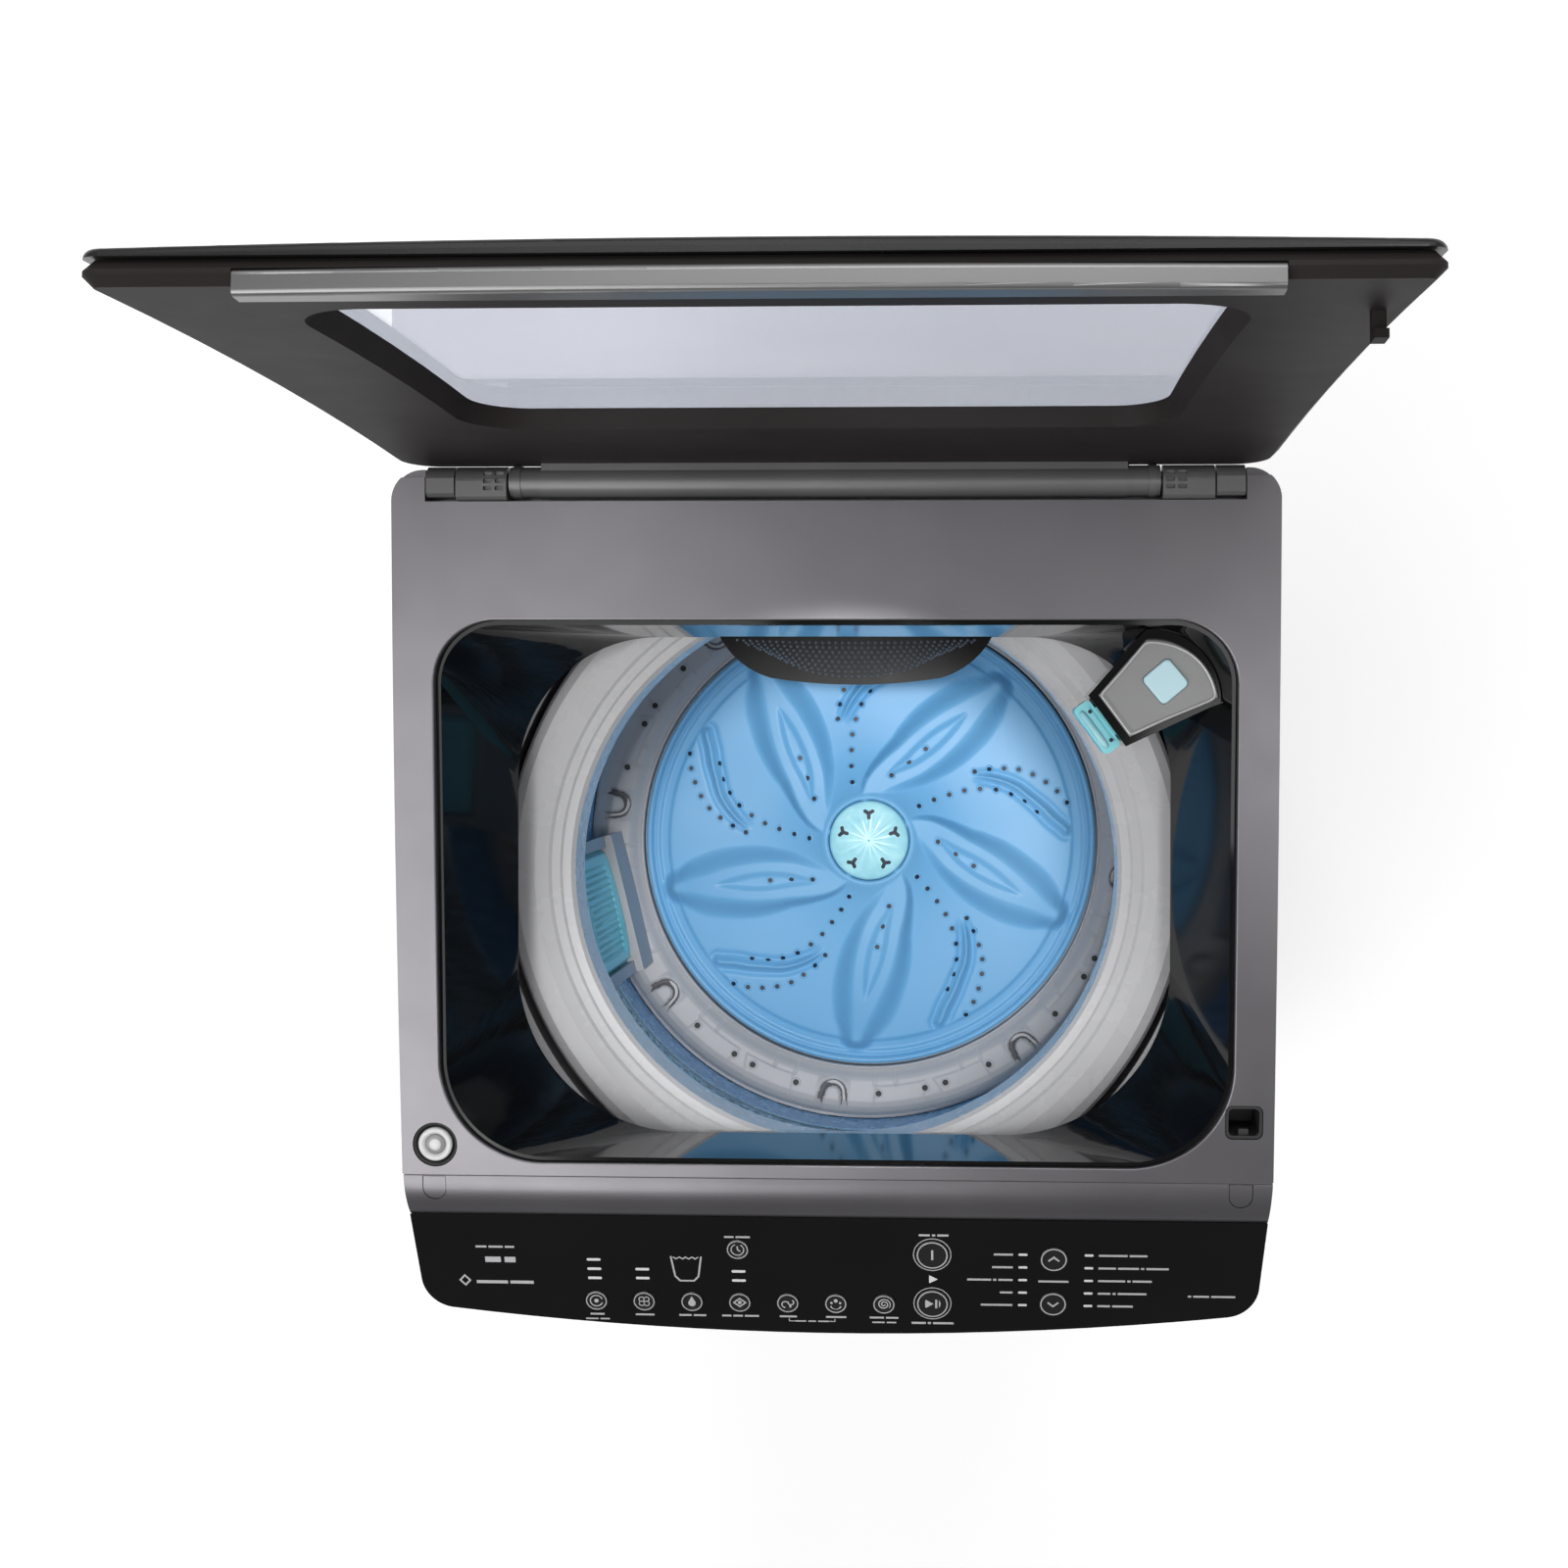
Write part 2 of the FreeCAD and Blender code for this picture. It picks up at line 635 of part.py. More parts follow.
# ---- lid, in its own frame --------------------------------------------------------------
def lid_layer(z0, z1, x, y0, y1, radii):
    """A bowed plate between two offsets from the lid's inner face."""
    r = LID_BOW_R + LID_FACE
    shell = Part.makeCylinder(r + z1 - LID_FACE, 2 * x + 2, Vector(-x - 1, 0, -LID_BOW_R), X)
    core = Part.makeCylinder(r + z0 - LID_FACE, 2 * x + 4, Vector(-x - 2, 0, -LID_BOW_R), X)
    plan = prism(rounded_rect(-x, x, y0, y1, radii, -60), 120)
    return plan.common(shell).cut(core)


LID_CORNERS = (26, 26, 9, 9)
LID_CROWN = 3.0  # how much thinner the lid is at its two sides
SPLIT = LID_FACE + 11.0  # joint between inner and outer frame
LID_BACK = LID_FACE + 18.0  # outer face


def bow(y):
    """How far the lid has curled inwards at a place y from the hinge."""
    return LID_BOW_R - math.sqrt(LID_BOW_R**2 - y * y)


def lid_inner_frame():
    """Inner frame of the lid with its bevelled window, latch hook and seat for the bar."""
    body = lid_layer(LID_FACE, SPLIT, LID_X, LID_START, LID_LEN, LID_CORNERS)
    body = body.makeChamfer(4.5, [e for e in body.Edges if is_lid_face_rim(e)])
    bevel = loft(
        [
            rounded_rect(-206, 206, 101, 407, (44, 44, 38, 38), LID_FACE - 20),
            rounded_rect(-186, 186, 117, 393, (26, 26, 24, 24), SPLIT + 6),
        ]
    )
    body = body.cut(bevel)
    z = LID_FACE - bow(391)
    hook = box(-254.5, -248.5, 385.6, 390.6, z - 13.0, z + 1)
    barb = box(-254.5, -248.5, 385.6, 396.0, z - 13.0, z - 9.0)
    body = fuse([body, hook, barb]).cut(bar_shape(GAP))
    return on_lid(body)


def is_lid_face_rim(edge):
    """The outer edge of the lid's inner face."""
    b = edge.BoundBox
    level = LID_FACE - bow(max(abs(b.YMax), abs(b.YMin)))
    return b.ZMin > level - 0.5 and b.ZMax < LID_FACE + 0.5


def crowned_back():
    """Everything under a back that is bowed along the lid and crowned across it."""
    x = LID_X + 3
    top = LID_BOW_R + LID_BACK
    arc = Part.Arc(
        Vector(-x, 0, top - LID_CROWN), Vector(0, 0, top), Vector(x, 0, top - LID_CROWN)
    ).toShape()
    wire = Part.Wire(
        [
            Part.LineSegment(Vector(-x, 0, LID_BOW_R - 60), Vector(-x, 0, top - LID_CROWN)).toShape(),
            arc,
            Part.LineSegment(Vector(x, 0, top - LID_CROWN), Vector(x, 0, LID_BOW_R - 60)).toShape(),
            Part.LineSegment(Vector(x, 0, LID_BOW_R - 60), Vector(-x, 0, LID_BOW_R - 60)).toShape(),
        ]
    )
    face = Part.Face(wire)
    face.rotate(Vector(0, 0, 0), X, 1.0)
    body = face.revolve(Vector(0, 0, 0), X, -7.0)
    body.translate(Vector(0, 0, -LID_BOW_R))
    return body


def lid_outer_frame():
    """Outer frame round the pane, with a crowned back and a rolled rim."""
    body = lid_layer(SPLIT + GAP, LID_BACK, LID_X, LID_START, LID_LEN, LID_CORNERS)
    body = body.common(crowned_back())
    hole = prism(rounded_rect(-228, 228, 54, 424, (18,) * 4, -60), 120)
    body = body.cut(hole)
    body = fillet(body, 4.0, is_lid_back_rim)
    return on_lid(body)


def is_lid_back_rim(edge):
    """The outer edge of the lid's back."""
    b = edge.BoundBox
    back = b.ZMin > LID_BACK - bow(b.YMax) - LID_CROWN - 0.5
    outside = max(abs(b.XMin), abs(b.XMax)) > 229 or b.YMax > 430 or b.YMin < 20
    return back and outside


def lid_glass():
    z0 = SPLIT + GAP
    return on_lid(lid_layer(z0, z0 + 4, 227.6, 54.4, 423.6, (17.6,) * 4))


def bar_shape(grow):
    """The finger bar, its front bowed across the width and its long edges rounded."""
    x = 204.0 + grow
    y0, y1, crown = LID_LEN - 9.0 - grow, LID_LEN + 0.6 + grow, 3.4
    z0, z1 = LID_FACE - bow(LID_LEN) - 4.6 - grow, LID_FACE - bow(LID_LEN) + 6.0 + grow
    wire = Part.Wire(
        [
            Part.LineSegment(Vector(-x, y0, z0), Vector(x, y0, z0)).toShape(),
            Part.LineSegment(Vector(x, y0, z0), Vector(x, y1, z0)).toShape(),
            Part.Arc(Vector(x, y1, z0), Vector(0, y1 + crown, z0), Vector(-x, y1, z0)).toShape(),
            Part.LineSegment(Vector(-x, y1, z0), Vector(-x, y0, z0)).toShape(),
        ]
    )
    bar = Part.Face(wire).extrude(Vector(0, 0, z1 - z0))
    if grow:
        return bar
    return fillet(bar, 2.4, lambda e: e.BoundBox.XLength > 300 and e.BoundBox.YMax > y1)


def lid_handle_bar():
    """Rounded bright bar along the free edge that the fingers pull on."""
    return on_lid(bar_shape(0))


def lid_hinge_barrel():
    """Full-length barrel with end collars and a flat saddle on the lid, bored for its pins."""
    half = 197.6
    body = fuse(
        [
            Part.makeCylinder(BARREL_R - 0.5, 2 * half, Vector(-half, 0, 0), X),
            Part.makeCylinder(BARREL_R, 2 * 179.0, Vector(-179, 0, 0), X),
            Part.makeCylinder(BARREL_R + 0.2, 5, Vector(-half + 2, 0, 0), X),
            Part.makeCylinder(BARREL_R + 0.2, 5, Vector(half - 7, 0, 0), X),
            box(-178, 178, -6, 8, 4.0, LID_FACE - 0.1),
        ]
    )
    body = body.cut(Part.makeCylinder(4.06, 12, Vector(half - 11, 0, 0), X))
    body = body.cut(Part.makeCylinder(4.06, 12, Vector(-half - 1, 0, 0), X))
    return on_lid(body)


# ---- dispenser and water inlet ----------------------------------------------------------
DISP_TOP = DECK_Z - 27.0
DISP_A, DISP_B = (191.6, 151.0), (236.0, 115.2)
DISP_C, DISP_D = (181.6, 91.0), (162.3, 116.9)
DRAWER_DIR = Vector(-0.802, -0.597, 0)


def dispenser_plan(grow, z):
    """Wedge from above: straight front and sides, arc towards the corner of the opening."""
    cx = sum(p[0] for p in (DISP_A, DISP_B, DISP_C, DISP_D)) / 4
    cy = sum(p[1] for p in (DISP_A, DISP_B, DISP_C, DISP_D)) / 4

    def p(q):
        v = Vector(q[0] - cx, q[1] - cy, 0)
        v = v * ((v.Length + grow * 1.35) / v.Length)
        return Vector(cx + v.x, cy + v.y, z)

    bulge = p((221.5, 141.5))
    return Part.Wire(
        [
            Part.Arc(p(DISP_B), bulge, p(DISP_A)).toShape(),
            Part.LineSegment(p(DISP_A), p(DISP_D)).toShape(),
            Part.LineSegment(p(DISP_D), p(DISP_C)).toShape(),
            Part.LineSegment(p(DISP_C), p(DISP_B)).toShape(),
        ]
    )


def dispenser_block(grow):
    return prism(dispenser_plan(5 + grow, DECK_Z - 78 - grow), 56 + grow)


def drawer_block(grow):
    """The drawer's own box, drawn along its slide and placed in the housing."""
    half, depth = 10.6 + grow, 44.0
    body = box(-6.5, depth + grow, -half, half, -26 - grow, grow)
    angle = math.degrees(math.atan2(-DRAWER_DIR.y, -DRAWER_DIR.x))
    mid = Vector((DISP_C[0] + DISP_D[0]) / 2, (DISP_C[1] + DISP_D[1]) / 2, DECK_Z - 38)
    return body, Placement(mid, Rotation(Z, angle))


def dispenser_housing():
    """Black case of the dispenser, open at the front for the drawer."""
    outer = prism(dispenser_plan(4.6, DECK_Z - 76), 76 - 27)
    tray = prism(dispenser_plan(0.3, DISP_TOP - 3.2), 20)
    body = outer.cut(tray)
    pocket, at = drawer_block(0.5)
    long = fuse([pocket, pocket.translated(Vector(-12, 0, 0))])
    return body.cut(long.transformed(at.toMatrix()))


def dispenser_cover():
    """Grey top plate with a raised rim and a square window."""
    body = prism(dispenser_plan(0.0, DISP_TOP - 2.8), 3.6)
    body = fillet(body, 1.0, lambda e: e.BoundBox.ZMin > DISP_TOP + 0.7)
    well = prism(dispenser_plan(-2.6, DISP_TOP - 0.2), 5)
    body = body.cut(well)
    return body.cut(cap_shape(0.3, DISP_TOP - 10, 20))


def cap_shape(grow, z, height):
    half = 10.6 + grow
    cap = rounded_block(-half, half, -half, half, 0, height, 3.4)
    return cap.transformed(Placement(Vector(203.4, 125.2, z), Rotation(Z, 40)).toMatrix())


def softener_cap():
    """Aqua cap of the softener cup, standing in the cover's window."""
    cap = cap_shape(0.0, DISP_TOP - 2.6, 5.0)
    return fillet(cap, 1.4, lambda e: e.BoundBox.ZMin > DISP_TOP + 2.3)


def dispenser_drawer():
    """Aqua detergent drawer with a hooked pull that stands out of the case."""
    body, at = drawer_block(0)
    body = body.cut(box(2, 42, -8.6, 8.6, -24, 5))
    pull = rounded_block(-18, -5.8, -17.5, 17.5, -30, -2, 3.0)
    pull = pull.cut(rounded_block(-15.5, -8.2, -15, 15, -40, -5, 2))
    body = fuse([body, pull])
    body = body.cut(box(-8.6, -6.4, -13, 13, -3.2, 0))
    return body.transformed(at.toMatrix())


def spreader_plan(half, depth, y_back, z, x_mid=12.0):
    """A D: straight along the rear wall, one long arc in front."""
    a, b = Vector(x_mid - half, y_back, z), Vector(x_mid + half, y_back, z)
    c = Vector(x_mid + half * 0.62, y_back - depth * 0.86, z)
    d = Vector(x_mid - half * 0.62, y_back - depth * 0.86, z)
    m = Vector(x_mid, y_back - depth, z)
    k1 = Vector(x_mid + half * 0.86, y_back - depth * 0.5, z)
    k2 = Vector(x_mid - half * 0.86, y_back - depth * 0.5, z)
    return Part.Wire(
        [
            Part.LineSegment(a, b).toShape(),
            Part.Arc(b, k1, c).toShape(),
            Part.Arc(c, m, d).toShape(),
            Part.Arc(d, k2, a).toShape(),
        ]
    )


def water_spreader():
    """Hollow D-shaped shower box under the rear edge, its face pierced in rows."""
    top, low = DECK_Z - 36.0, DECK_Z - 62.0
    back = 153.2
    body = loft([spreader_plan(72, 20, back - 1.2, low), spreader_plan(85, 30, back, top)])
    neck = box(-20, 44, back - 2, back - 0.2, low + 4, top - 4)
    for row in range(3):
        n = 13 - 2 * row
        for i in range(n):
            x = 12 + (i - (n - 1) / 2) * 9.6
            y = back - 6 - row * 6.4
            body = body.cut(rod(1.5, x, y, top - 2.5, top + 3))
    return body


def water_inlet_valve():
    """Twin solenoid valve behind the deck, with two threaded ports through the rear wall."""
    body = rounded_block(92, 182, 196, 230, DECK_Z - 62, DECK_Z - 31, 4)
    coils = [rounded_block(x - 12, x + 12, 176, 197, DECK_Z - 59, DECK_Z - 35, 5) for x in (115, 160)]
    ports = valve_ports(0)
    spout = Part.makeCylinder(8, 24, Vector(100, 216, DECK_Z - 46), -X)
    return fuse([body, ports, spout] + coils)


def valve_ports(grow):
    made = []
    for x in (115, 160):
        stem = fuse(
            [
                Part.makeCylinder(12.4 + grow, 30, Vector(x, 229, DECK_Z - 46), Y),
                Part.makeCylinder(13.2, 23, Vector(x, 255, DECK_Z - 46), Y),
            ]
        )
        if grow == 0:
            stem = stem.cut(Part.makeCylinder(9.0, 40, Vector(x, 243, DECK_Z - 46), Y))
        made.append(stem)
    return fuse(made)


def rear_glands():
    """Rubber cord gland and the drain outlet spigot on the rear panel."""
    y = CAB_REAR + GAP
    gland = Part.makeCylinder(9.0, 8, Vector(-205, y - 3, 690), Y)
    gland = fuse(
        [
            gland,
            Part.makeCylinder(12.5, 2.4, Vector(-205, y + SHEET + 0.2, 690), Y),
            Part.makeCylinder(12.5, 2.0, Vector(-205, y - 3, 690), Y),
        ]
    ).cut(Part.makeCylinder(4.0, 20, Vector(-205, y - 8, 690), Y))
    spigot = fuse(
        [
            Part.makeCylinder(15.0, 36, Vector(205, y - 12, 120), Y),
            Part.makeCylinder(19.0, 2.4, Vector(205, y + SHEET + 0.2, 120), Y),
            Part.makeCylinder(19.0, 2.4, Vector(205, y - 3.0, 120), Y),
        ]
    ).cut(Part.makeCylinder(12.0, 60, Vector(205, y - 20, 120), Y))
    return group([gland, spigot])


# ---- tub, basket and drive --------------------------------------------------------------
ROD_X, ROD_FRONT, ROD_REAR = 222.0, -222.0, 205.0
LUG_Z = 470.0
SPRING_BOTTOM = 402.0


def rod_places():
    return [(s * ROD_X, y) for y in (ROD_FRONT, ROD_REAR) for s in (-1, 1)]


def outer_tub():
    """Plastic tub with a dished floor, hoop ribs and a lug over each suspension spring."""
    wall = revolve(
        [
            (TUB_R, TUB_TOP),
            (TUB_R + 3, TUB_TOP),
            (TUB_R + 3, TUB_BOTTOM + 14),
            (TUB_R - 12, TUB_BOTTOM),
            (24, TUB_BOTTOM - 4),
            (24, TUB_BOTTOM + 3),
            (60, TUB_BOTTOM + 3),
            (TUB_R - 14, TUB_BOTTOM + 5),
            (TUB_R, TUB_BOTTOM + 18),
        ]
    )
    hoops = [
        ring(TUB_R + 1, TUB_R + 4.6, 0, 0, z, z + 4) for z in (520.0, 620.0, 720.0)
    ]
    made = [wall] + hoops
    for x, y in rod_places():
        a = math.degrees(math.atan2(y, x))
        reach = math.hypot(x, y)
        lug = box(TUB_R - 1.0, reach + 13, -17, 17, LUG_Z, LUG_Z + 10)
        rib = box(TUB_R - 1.0, reach - 14, -3, 3, LUG_Z + 9, LUG_Z + 50)
        for piece in (lug, rib):
            made.append(piece.transformed(Placement(Vector(0, 0, 0), Rotation(Z, a)).toMatrix()))
    body = fuse(made)
    for x, y in rod_places():
        body = body.cut(rod(6.0, x, y, LUG_Z - 5, LUG_Z + 20))
    drain = Part.makeCylinder(14, 14, Vector(150, 130, TUB_BOTTOM - 8), Z)
    return body.cut(drain)


def tub_cover():
    """Splash ring clipped over the rim of the tub."""
    z = TUB_TOP
    return revolve(
        [
            (231, z + 14),
            (TUB_R + 5.6, z + 14),
            (TUB_R + 5.6, z - 16),
            (TUB_R + 3.4, z - 16),
            (TUB_R + 3.4, z + 0.4),
            (TUB_R - 4, z + 0.4),
            (TUB_R - 4, z + 11),
            (231, z + 11),
        ]
    )


def suspension_rods():
    """Four rods hung from ball seats in the cabinet corners, with a spring cap at the bottom."""
    made = []
    for x, y in rod_places():
        stem = rod(4.0, x, y, SPRING_BOTTOM - 8, 806)
        ball = Part.makeSphere(10, Vector(x, y, 806))
        cap = ring(3.9, 17, x, y, SPRING_BOTTOM - 6, SPRING_BOTTOM - 0.3)
        seat = box(x - 20, x + 20, y - 20, y + 20, 796, 801).cut(rod(10.2, x, y, 790, 812))
        made.append(fuse([stem, ball, cap]))
        sx, sy = (1 if x > 0 else -1), (1 if y > 0 else -1)
        wall_y = CAB_FRONT + SHEET + GAP if sy < 0 else CAB_REAR - SHEET - GAP
        x_out = sx * (CAB_X - SHEET - GAP)
        plate = box(
            min(x - sx * 20, x_out), max(x - sx * 20, x_out),
            min(y - sy * 20, wall_y), max(y - sy * 20, wall_y), 796, 799.5,
        )
        corner = prism(
            rounded_rect(
                -CAB_X + SHEET + GAP, CAB_X - SHEET - GAP,
                CAB_FRONT + SHEET + GAP, CAB_REAR - SHEET - GAP, (15, 15, 3, 3), 790,
            ),
            20,
        )
        hole = rod(7.0, x, y, 780, 820)
        made.append(plate.common(corner).cut(hole).cut(Part.makeSphere(10.3, Vector(x, y, 806))))
    return group(made)


def suspension_springs():
    """Four coil springs under the tub lugs."""
    made = []
    for x, y in rod_places():
        turns, wire_r, coil_r = 6, 1.7, 12.0
        z0, z1 = SPRING_BOTTOM + wire_r + 0.1, LUG_Z - wire_r - 0.3
        helix = Part.makeHelix((z1 - z0) / turns, z1 - z0, coil_r)
        circle = Part.Wire([Part.Circle(Vector(coil_r, 0, 0), Vector(0, 1, 0), wire_r).toShape()])
        coil = Part.Wire(helix).makePipeShell([circle], True, True)
        coil.translate(Vector(x, y, z0))
        made.append(coil)
    return group(made)


def basket_wall():
    """Stainless steel drum, open at both ends, with a rolled lower hem."""
    low, high = DECK_Z - 446, DECK_Z - 162
    return revolve(
        [
            (BASKET_R, low),
            (BASKET_R + 1, low),
            (BASKET_R + 1, high),
            (BASKET_R, high),
        ]
    )


def balance_ring():
    """Hollow fluid ring on top of the drum, with stepped grooves towards its inner edge."""
    z = RING_TOP
    return revolve(
        [
            (RING_IN_R, z - 9),
            (RING_IN_R + 2.5, z - 5.5),
            (RING_IN_R + 8, z - 5.0),
            (RING_IN_R + 9.5, z - 3.4),
            (RING_IN_R + 15, z - 3.0),
            (RING_IN_R + 17, z - 1.2),
            (RING_IN_R + 26, z - 0.2),
            (RING_IN_R + 38, z - 0.8),
            (226, z - 4),
            (228.6, z - 9),
            (229.4, z - 56),
            (BASKET_R + 1.4, z - 56),
            (BASKET_R + 1.4, z - 41),
            (222, z - 40),
            (RING_IN_R + 12, z - RING_DEPTH),
            (RING_IN_R + 3, z - RING_DEPTH + 2),
            (RING_IN_R, z - RING_DEPTH + 8),
        ]
    )


def basket_base():
    """Grey moulded floor of the drum, with a ledge of notches and holes round the pulsator."""
    p = PULSATOR_Z
    body = revolve(
        [
            (BASKET_R - 0.4, p + 36),
            (BASKET_R - 2.6, p + 36),
            (BASKET_R - 3.6, p + 22),
            (BASKET_R - 10, p + 15),
            (198, p + 11),
            (190.5, p + 3),
            (189.8, p - 14),
            (160, p - 24),
            (44, p - 24),
            (40, p - 20),
            (25, p - 20),
            (25, p - 28),
            (50, p - 30),
            (BASKET_R - 8, p - 26),
            (BASKET_R - 0.4, p - 10),
        ]
    )
    for i in range(8):
        a = math.radians(35.5 + 45 * i)
        notch = rod(9.5, 213 * math.cos(a), 213 * math.sin(a), p + 3, p + 60)
        body = body.cut(notch)
        for off in (-13.0, -2.4, 2.4, 13.0):
            b = a + math.radians(22.5 + off)
            body = body.cut(rod(2.2, 212 * math.cos(b), 212 * math.sin(b), p - 40, p + 60))
    body = body.cut(fuse([turned(filter_seat(), a) for a in FILTER_ANGLES.values()]))
    return fuse([body] + [turned(filter_channel(), a) for a in FILTER_ANGLES.values()])


FILTER_ANGLES = {"lint_filter_left": -166.2, "lint_filter_right": 13.8}
FILTER_LOW = PULSATOR_Z + 65.0
FILTER_HIGH = PULSATOR_Z + 205.0


def turned(shape, angle):
    return shape.transformed(Placement(Vector(0, 0, 0), Rotation(Z, angle)).toMatrix())


def filter_seat():
    """Room in the drum floor's ledge for one channel."""
    return box(196, BASKET_R + 10, -56, 56, PULSATOR_Z + 5, PULSATOR_Z + 100)


def filter_channel():
    """Grey water channel up the drum wall, with a rail on each side of its cassette."""
    drum = rod(BASKET_R - 0.4, 0, 0, 400, 800)
    foot_ = box(198, 240, -56, 56, PULSATOR_Z + 4.8, FILTER_LOW - 0.5)
    foot_ = foot_.cut(box(206, 240, -44, 44, PULSATOR_Z + 20, FILTER_LOW + 5))
    rails = [
        box(204, 240, min(s * 47, s * 56), max(s * 47, s * 56), FILTER_LOW - 1, FILTER_HIGH + 8)
        for s in (-1, 1)
    ]
    return fuse([foot_] + rails).common(drum)


def lint_filter(angle):
    """Lint cassette standing against the drum: a cage frame holding a ribbed mesh face."""
    z0, z1 = FILTER_LOW, FILTER_HIGH
    case = box(203, 240, -46, 46, z0, z1).common(rod(BASKET_R - 1.4, 0, 0, z0, z1))
    case = fillet(case, 3.0, lambda e: e.BoundBox.ZLength < 1 and e.BoundBox.XMax < 204)
    case = case.cut(box(206, 240, -38, 38, z0 + 9, z1 - 9))
    for i in range(6):
        zc = z0 + 20 + i * 20.0
        case = case.cut(box(202, 208, -36, 36, zc - 8, zc + 8))
    bars = [
        box(203.6, 206, x - 1.2, x + 1.2, z0 + 10, z1 - 10) for x in (-27, -18, -9, 0, 9, 18, 27)
    ]
    case = fuse([case] + bars)
    return turned(case, angle)


def vane(angle):
    """One leaf-shaped blade of the pulsator, thin at the hub and tall near the rim."""
    p = PULSATOR_Z
    a, b = Vector(40, 0, p - 8), Vector(174, 6, p - 8)
    up, down = Vector(112, 25, p - 8), Vector(112, -19, p - 8)
    wire = Part.Wire([Part.Arc(a, up, b).toShape(), Part.Arc(b, down, a).toShape()])
    leaf = Part.Face(wire).extrude(Vector(0, 0, 30))
    crest = Part.makeSphere(320, Vector(112, 2, p + 15 - 320))
    leaf = leaf.common(crest)
    return leaf.transformed(Placement(Vector(0, 0, 0), Rotation(Z, angle)).toMatrix())


def pulsator():
    """Wash plate: dished disc with a rolled rim, five tall blades and a raised hub."""
    p = PULSATOR_Z
    disc = revolve(
        [
            (14, p + 10),
            (33, p + 10),
            (34.4, p + 15.4),
            (38, p + 14.4),
            (54, p + 5),
            (110, p - 4),
            (168, p - 5),
            (180, p - 1),
            (184, p),
            (187.5, p - 3),
            (187.5, p - 10),
            (184, p - 10),
            (168, p - 12),
            (52, p - 12),
            (38, p - 14),
            (14, p - 14),
        ]
    )
    body = fuse([disc] + [vane(-90 + 72 * i) for i in range(5)])
    return body.cut(rod(33.0, 0, 0, p + 10, p + 40))


def pulsator_cap():
    """Domed cap over the pulsator's screw, pierced in five clusters."""
    p = PULSATOR_Z + 10.4
    disc = rod(32.6, 0, 0, p, p + 9)
    dome = Part.makeSphere(110, Vector(0, 0, p + 8.0 - 110))
    body = disc.common(dome)
    for i in range(5):
        a = math.radians(90 + 72 * i)
        for dr, da in ((19.0, 0), (24.6, -7.0), (24.6, 7.0)):
            b = a + math.radians(da)
            body = body.cut(rod(1.3, dr * math.cos(b), dr * math.sin(b), p - 1, p + 20))
    return body


def wash_shaft():
    """Inner shaft with the screw that holds the pulsator."""
    p = PULSATOR_Z
    stem = rod(6.0, 0, 0, PULLEY_Z - 6, p - 14.4)
    spline = rod(9.0, 0, 0, p - 24, p - 14.4)
    screw = fuse([rod(4.0, 0, 0, p - 15, p + 2), rod(8.0, 0, 0, p + 2, p + 7)])
    spindle = rod(12.0, 0, 0, p - 13.6, p + 1.6)
    return fuse([stem, spline, rod(4.0, 0, 0, p - 14.6, p + 2), screw])


def spin_shaft():
    """Hollow spin shaft and the three-armed flange that carries the drum."""
    p = PULSATOR_Z
    tube = ring(6.6, 12.0, 0, 0, 300, p - 25)
    flange_top = p - 30.6
    hub = ring(6.6, 24.0, 0, 0, flange_top - 12, flange_top)
    arms = []
    for i in range(3):
        arm = box(18, 150, -13, 13, flange_top - 6, flange_top - 1)
        arms.append(arm.transformed(Placement(Vector(0, 0, 0), Rotation(Z, 30 + 120 * i)).toMatrix()))
    return fuse([tube, hub] + arms)


def tub_seal():
    """Lip seal in the tub floor round the spin shaft."""
    return revolve(
        [
            (12.3, TUB_BOTTOM - 2),
            (12.3, TUB_BOTTOM + 2),
            (14, TUB_BOTTOM + 6),
            (16, TUB_BOTTOM + 2),
            (23.6, TUB_BOTTOM + 1),
            (23.6, TUB_BOTTOM - 3),
            (16, TUB_BOTTOM - 3),
        ]
    )


def drive_mount_plate():
    """Pressed steel cross under the tub that carries gearbox and motor."""
    z1 = TUB_BOTTOM - 6
    z0 = z1 - 3
    disc = rod(88, 0, 0, z0, z1)
    arms = [
        box(0, 205, -24, 24, z0, z1).transformed(
            Placement(Vector(0, 0, 0), Rotation(Z, a)).toMatrix()
        )
        for a in (45, 135, 225, 315)
    ]
    wing = rod(66, MOTOR_X, MOTOR_Y, z0, z1)
    body = fuse([disc, wing] + arms)
    body = body.cut(rod(24, 0, 0, z0 - 1, z1 + 1))
    body = body.cut(rod(14.4, 150, 130, z0 - 1, z1 + 1))
    for a in (45, 135, 225, 315):
        r = 166 if a == 45 else 190
        body = body.cut(
            rod(4.5, r * math.cos(math.radians(a)), r * math.sin(math.radians(a)), z0 - 1, z1 + 1)
        )
    return body.cut(rod(9, MOTOR_X, MOTOR_Y, z0 - 1, z1 + 1))


def gearbox_housing():
    """Two-part clutch and brake case under the plate."""
    z1 = TUB_BOTTOM - 9.4
    profile = [
        (20.4, z1), (84, z1), (84, z1 - 6), (58, z1 - 8), (58, z1 - 60), (64, z1 - 60),
        (64, z1 - 68), (58, z1 - 68), (52, z1 - 118), (30, z1 - 126), (30, z1 - 136),
        (20.4, z1 - 136), (20.4, z1 - 124), (46, z1 - 114), (50, z1 - 12), (20.4, z1 - 12),
    ]
    return revolve(profile)


def bearings():
    """Upper and lower ball bearings on the shafts, and the lip seal above them."""
    z1 = TUB_BOTTOM - 9.4
    upper = ring(12.04, 20.2, 0, 0, z1 - 12, z1 - 1)
    lower = ring(6.04, 20.2, 0, 0, z1 - 136, z1 - 125)
    return group([upper, lower, tub_seal()])


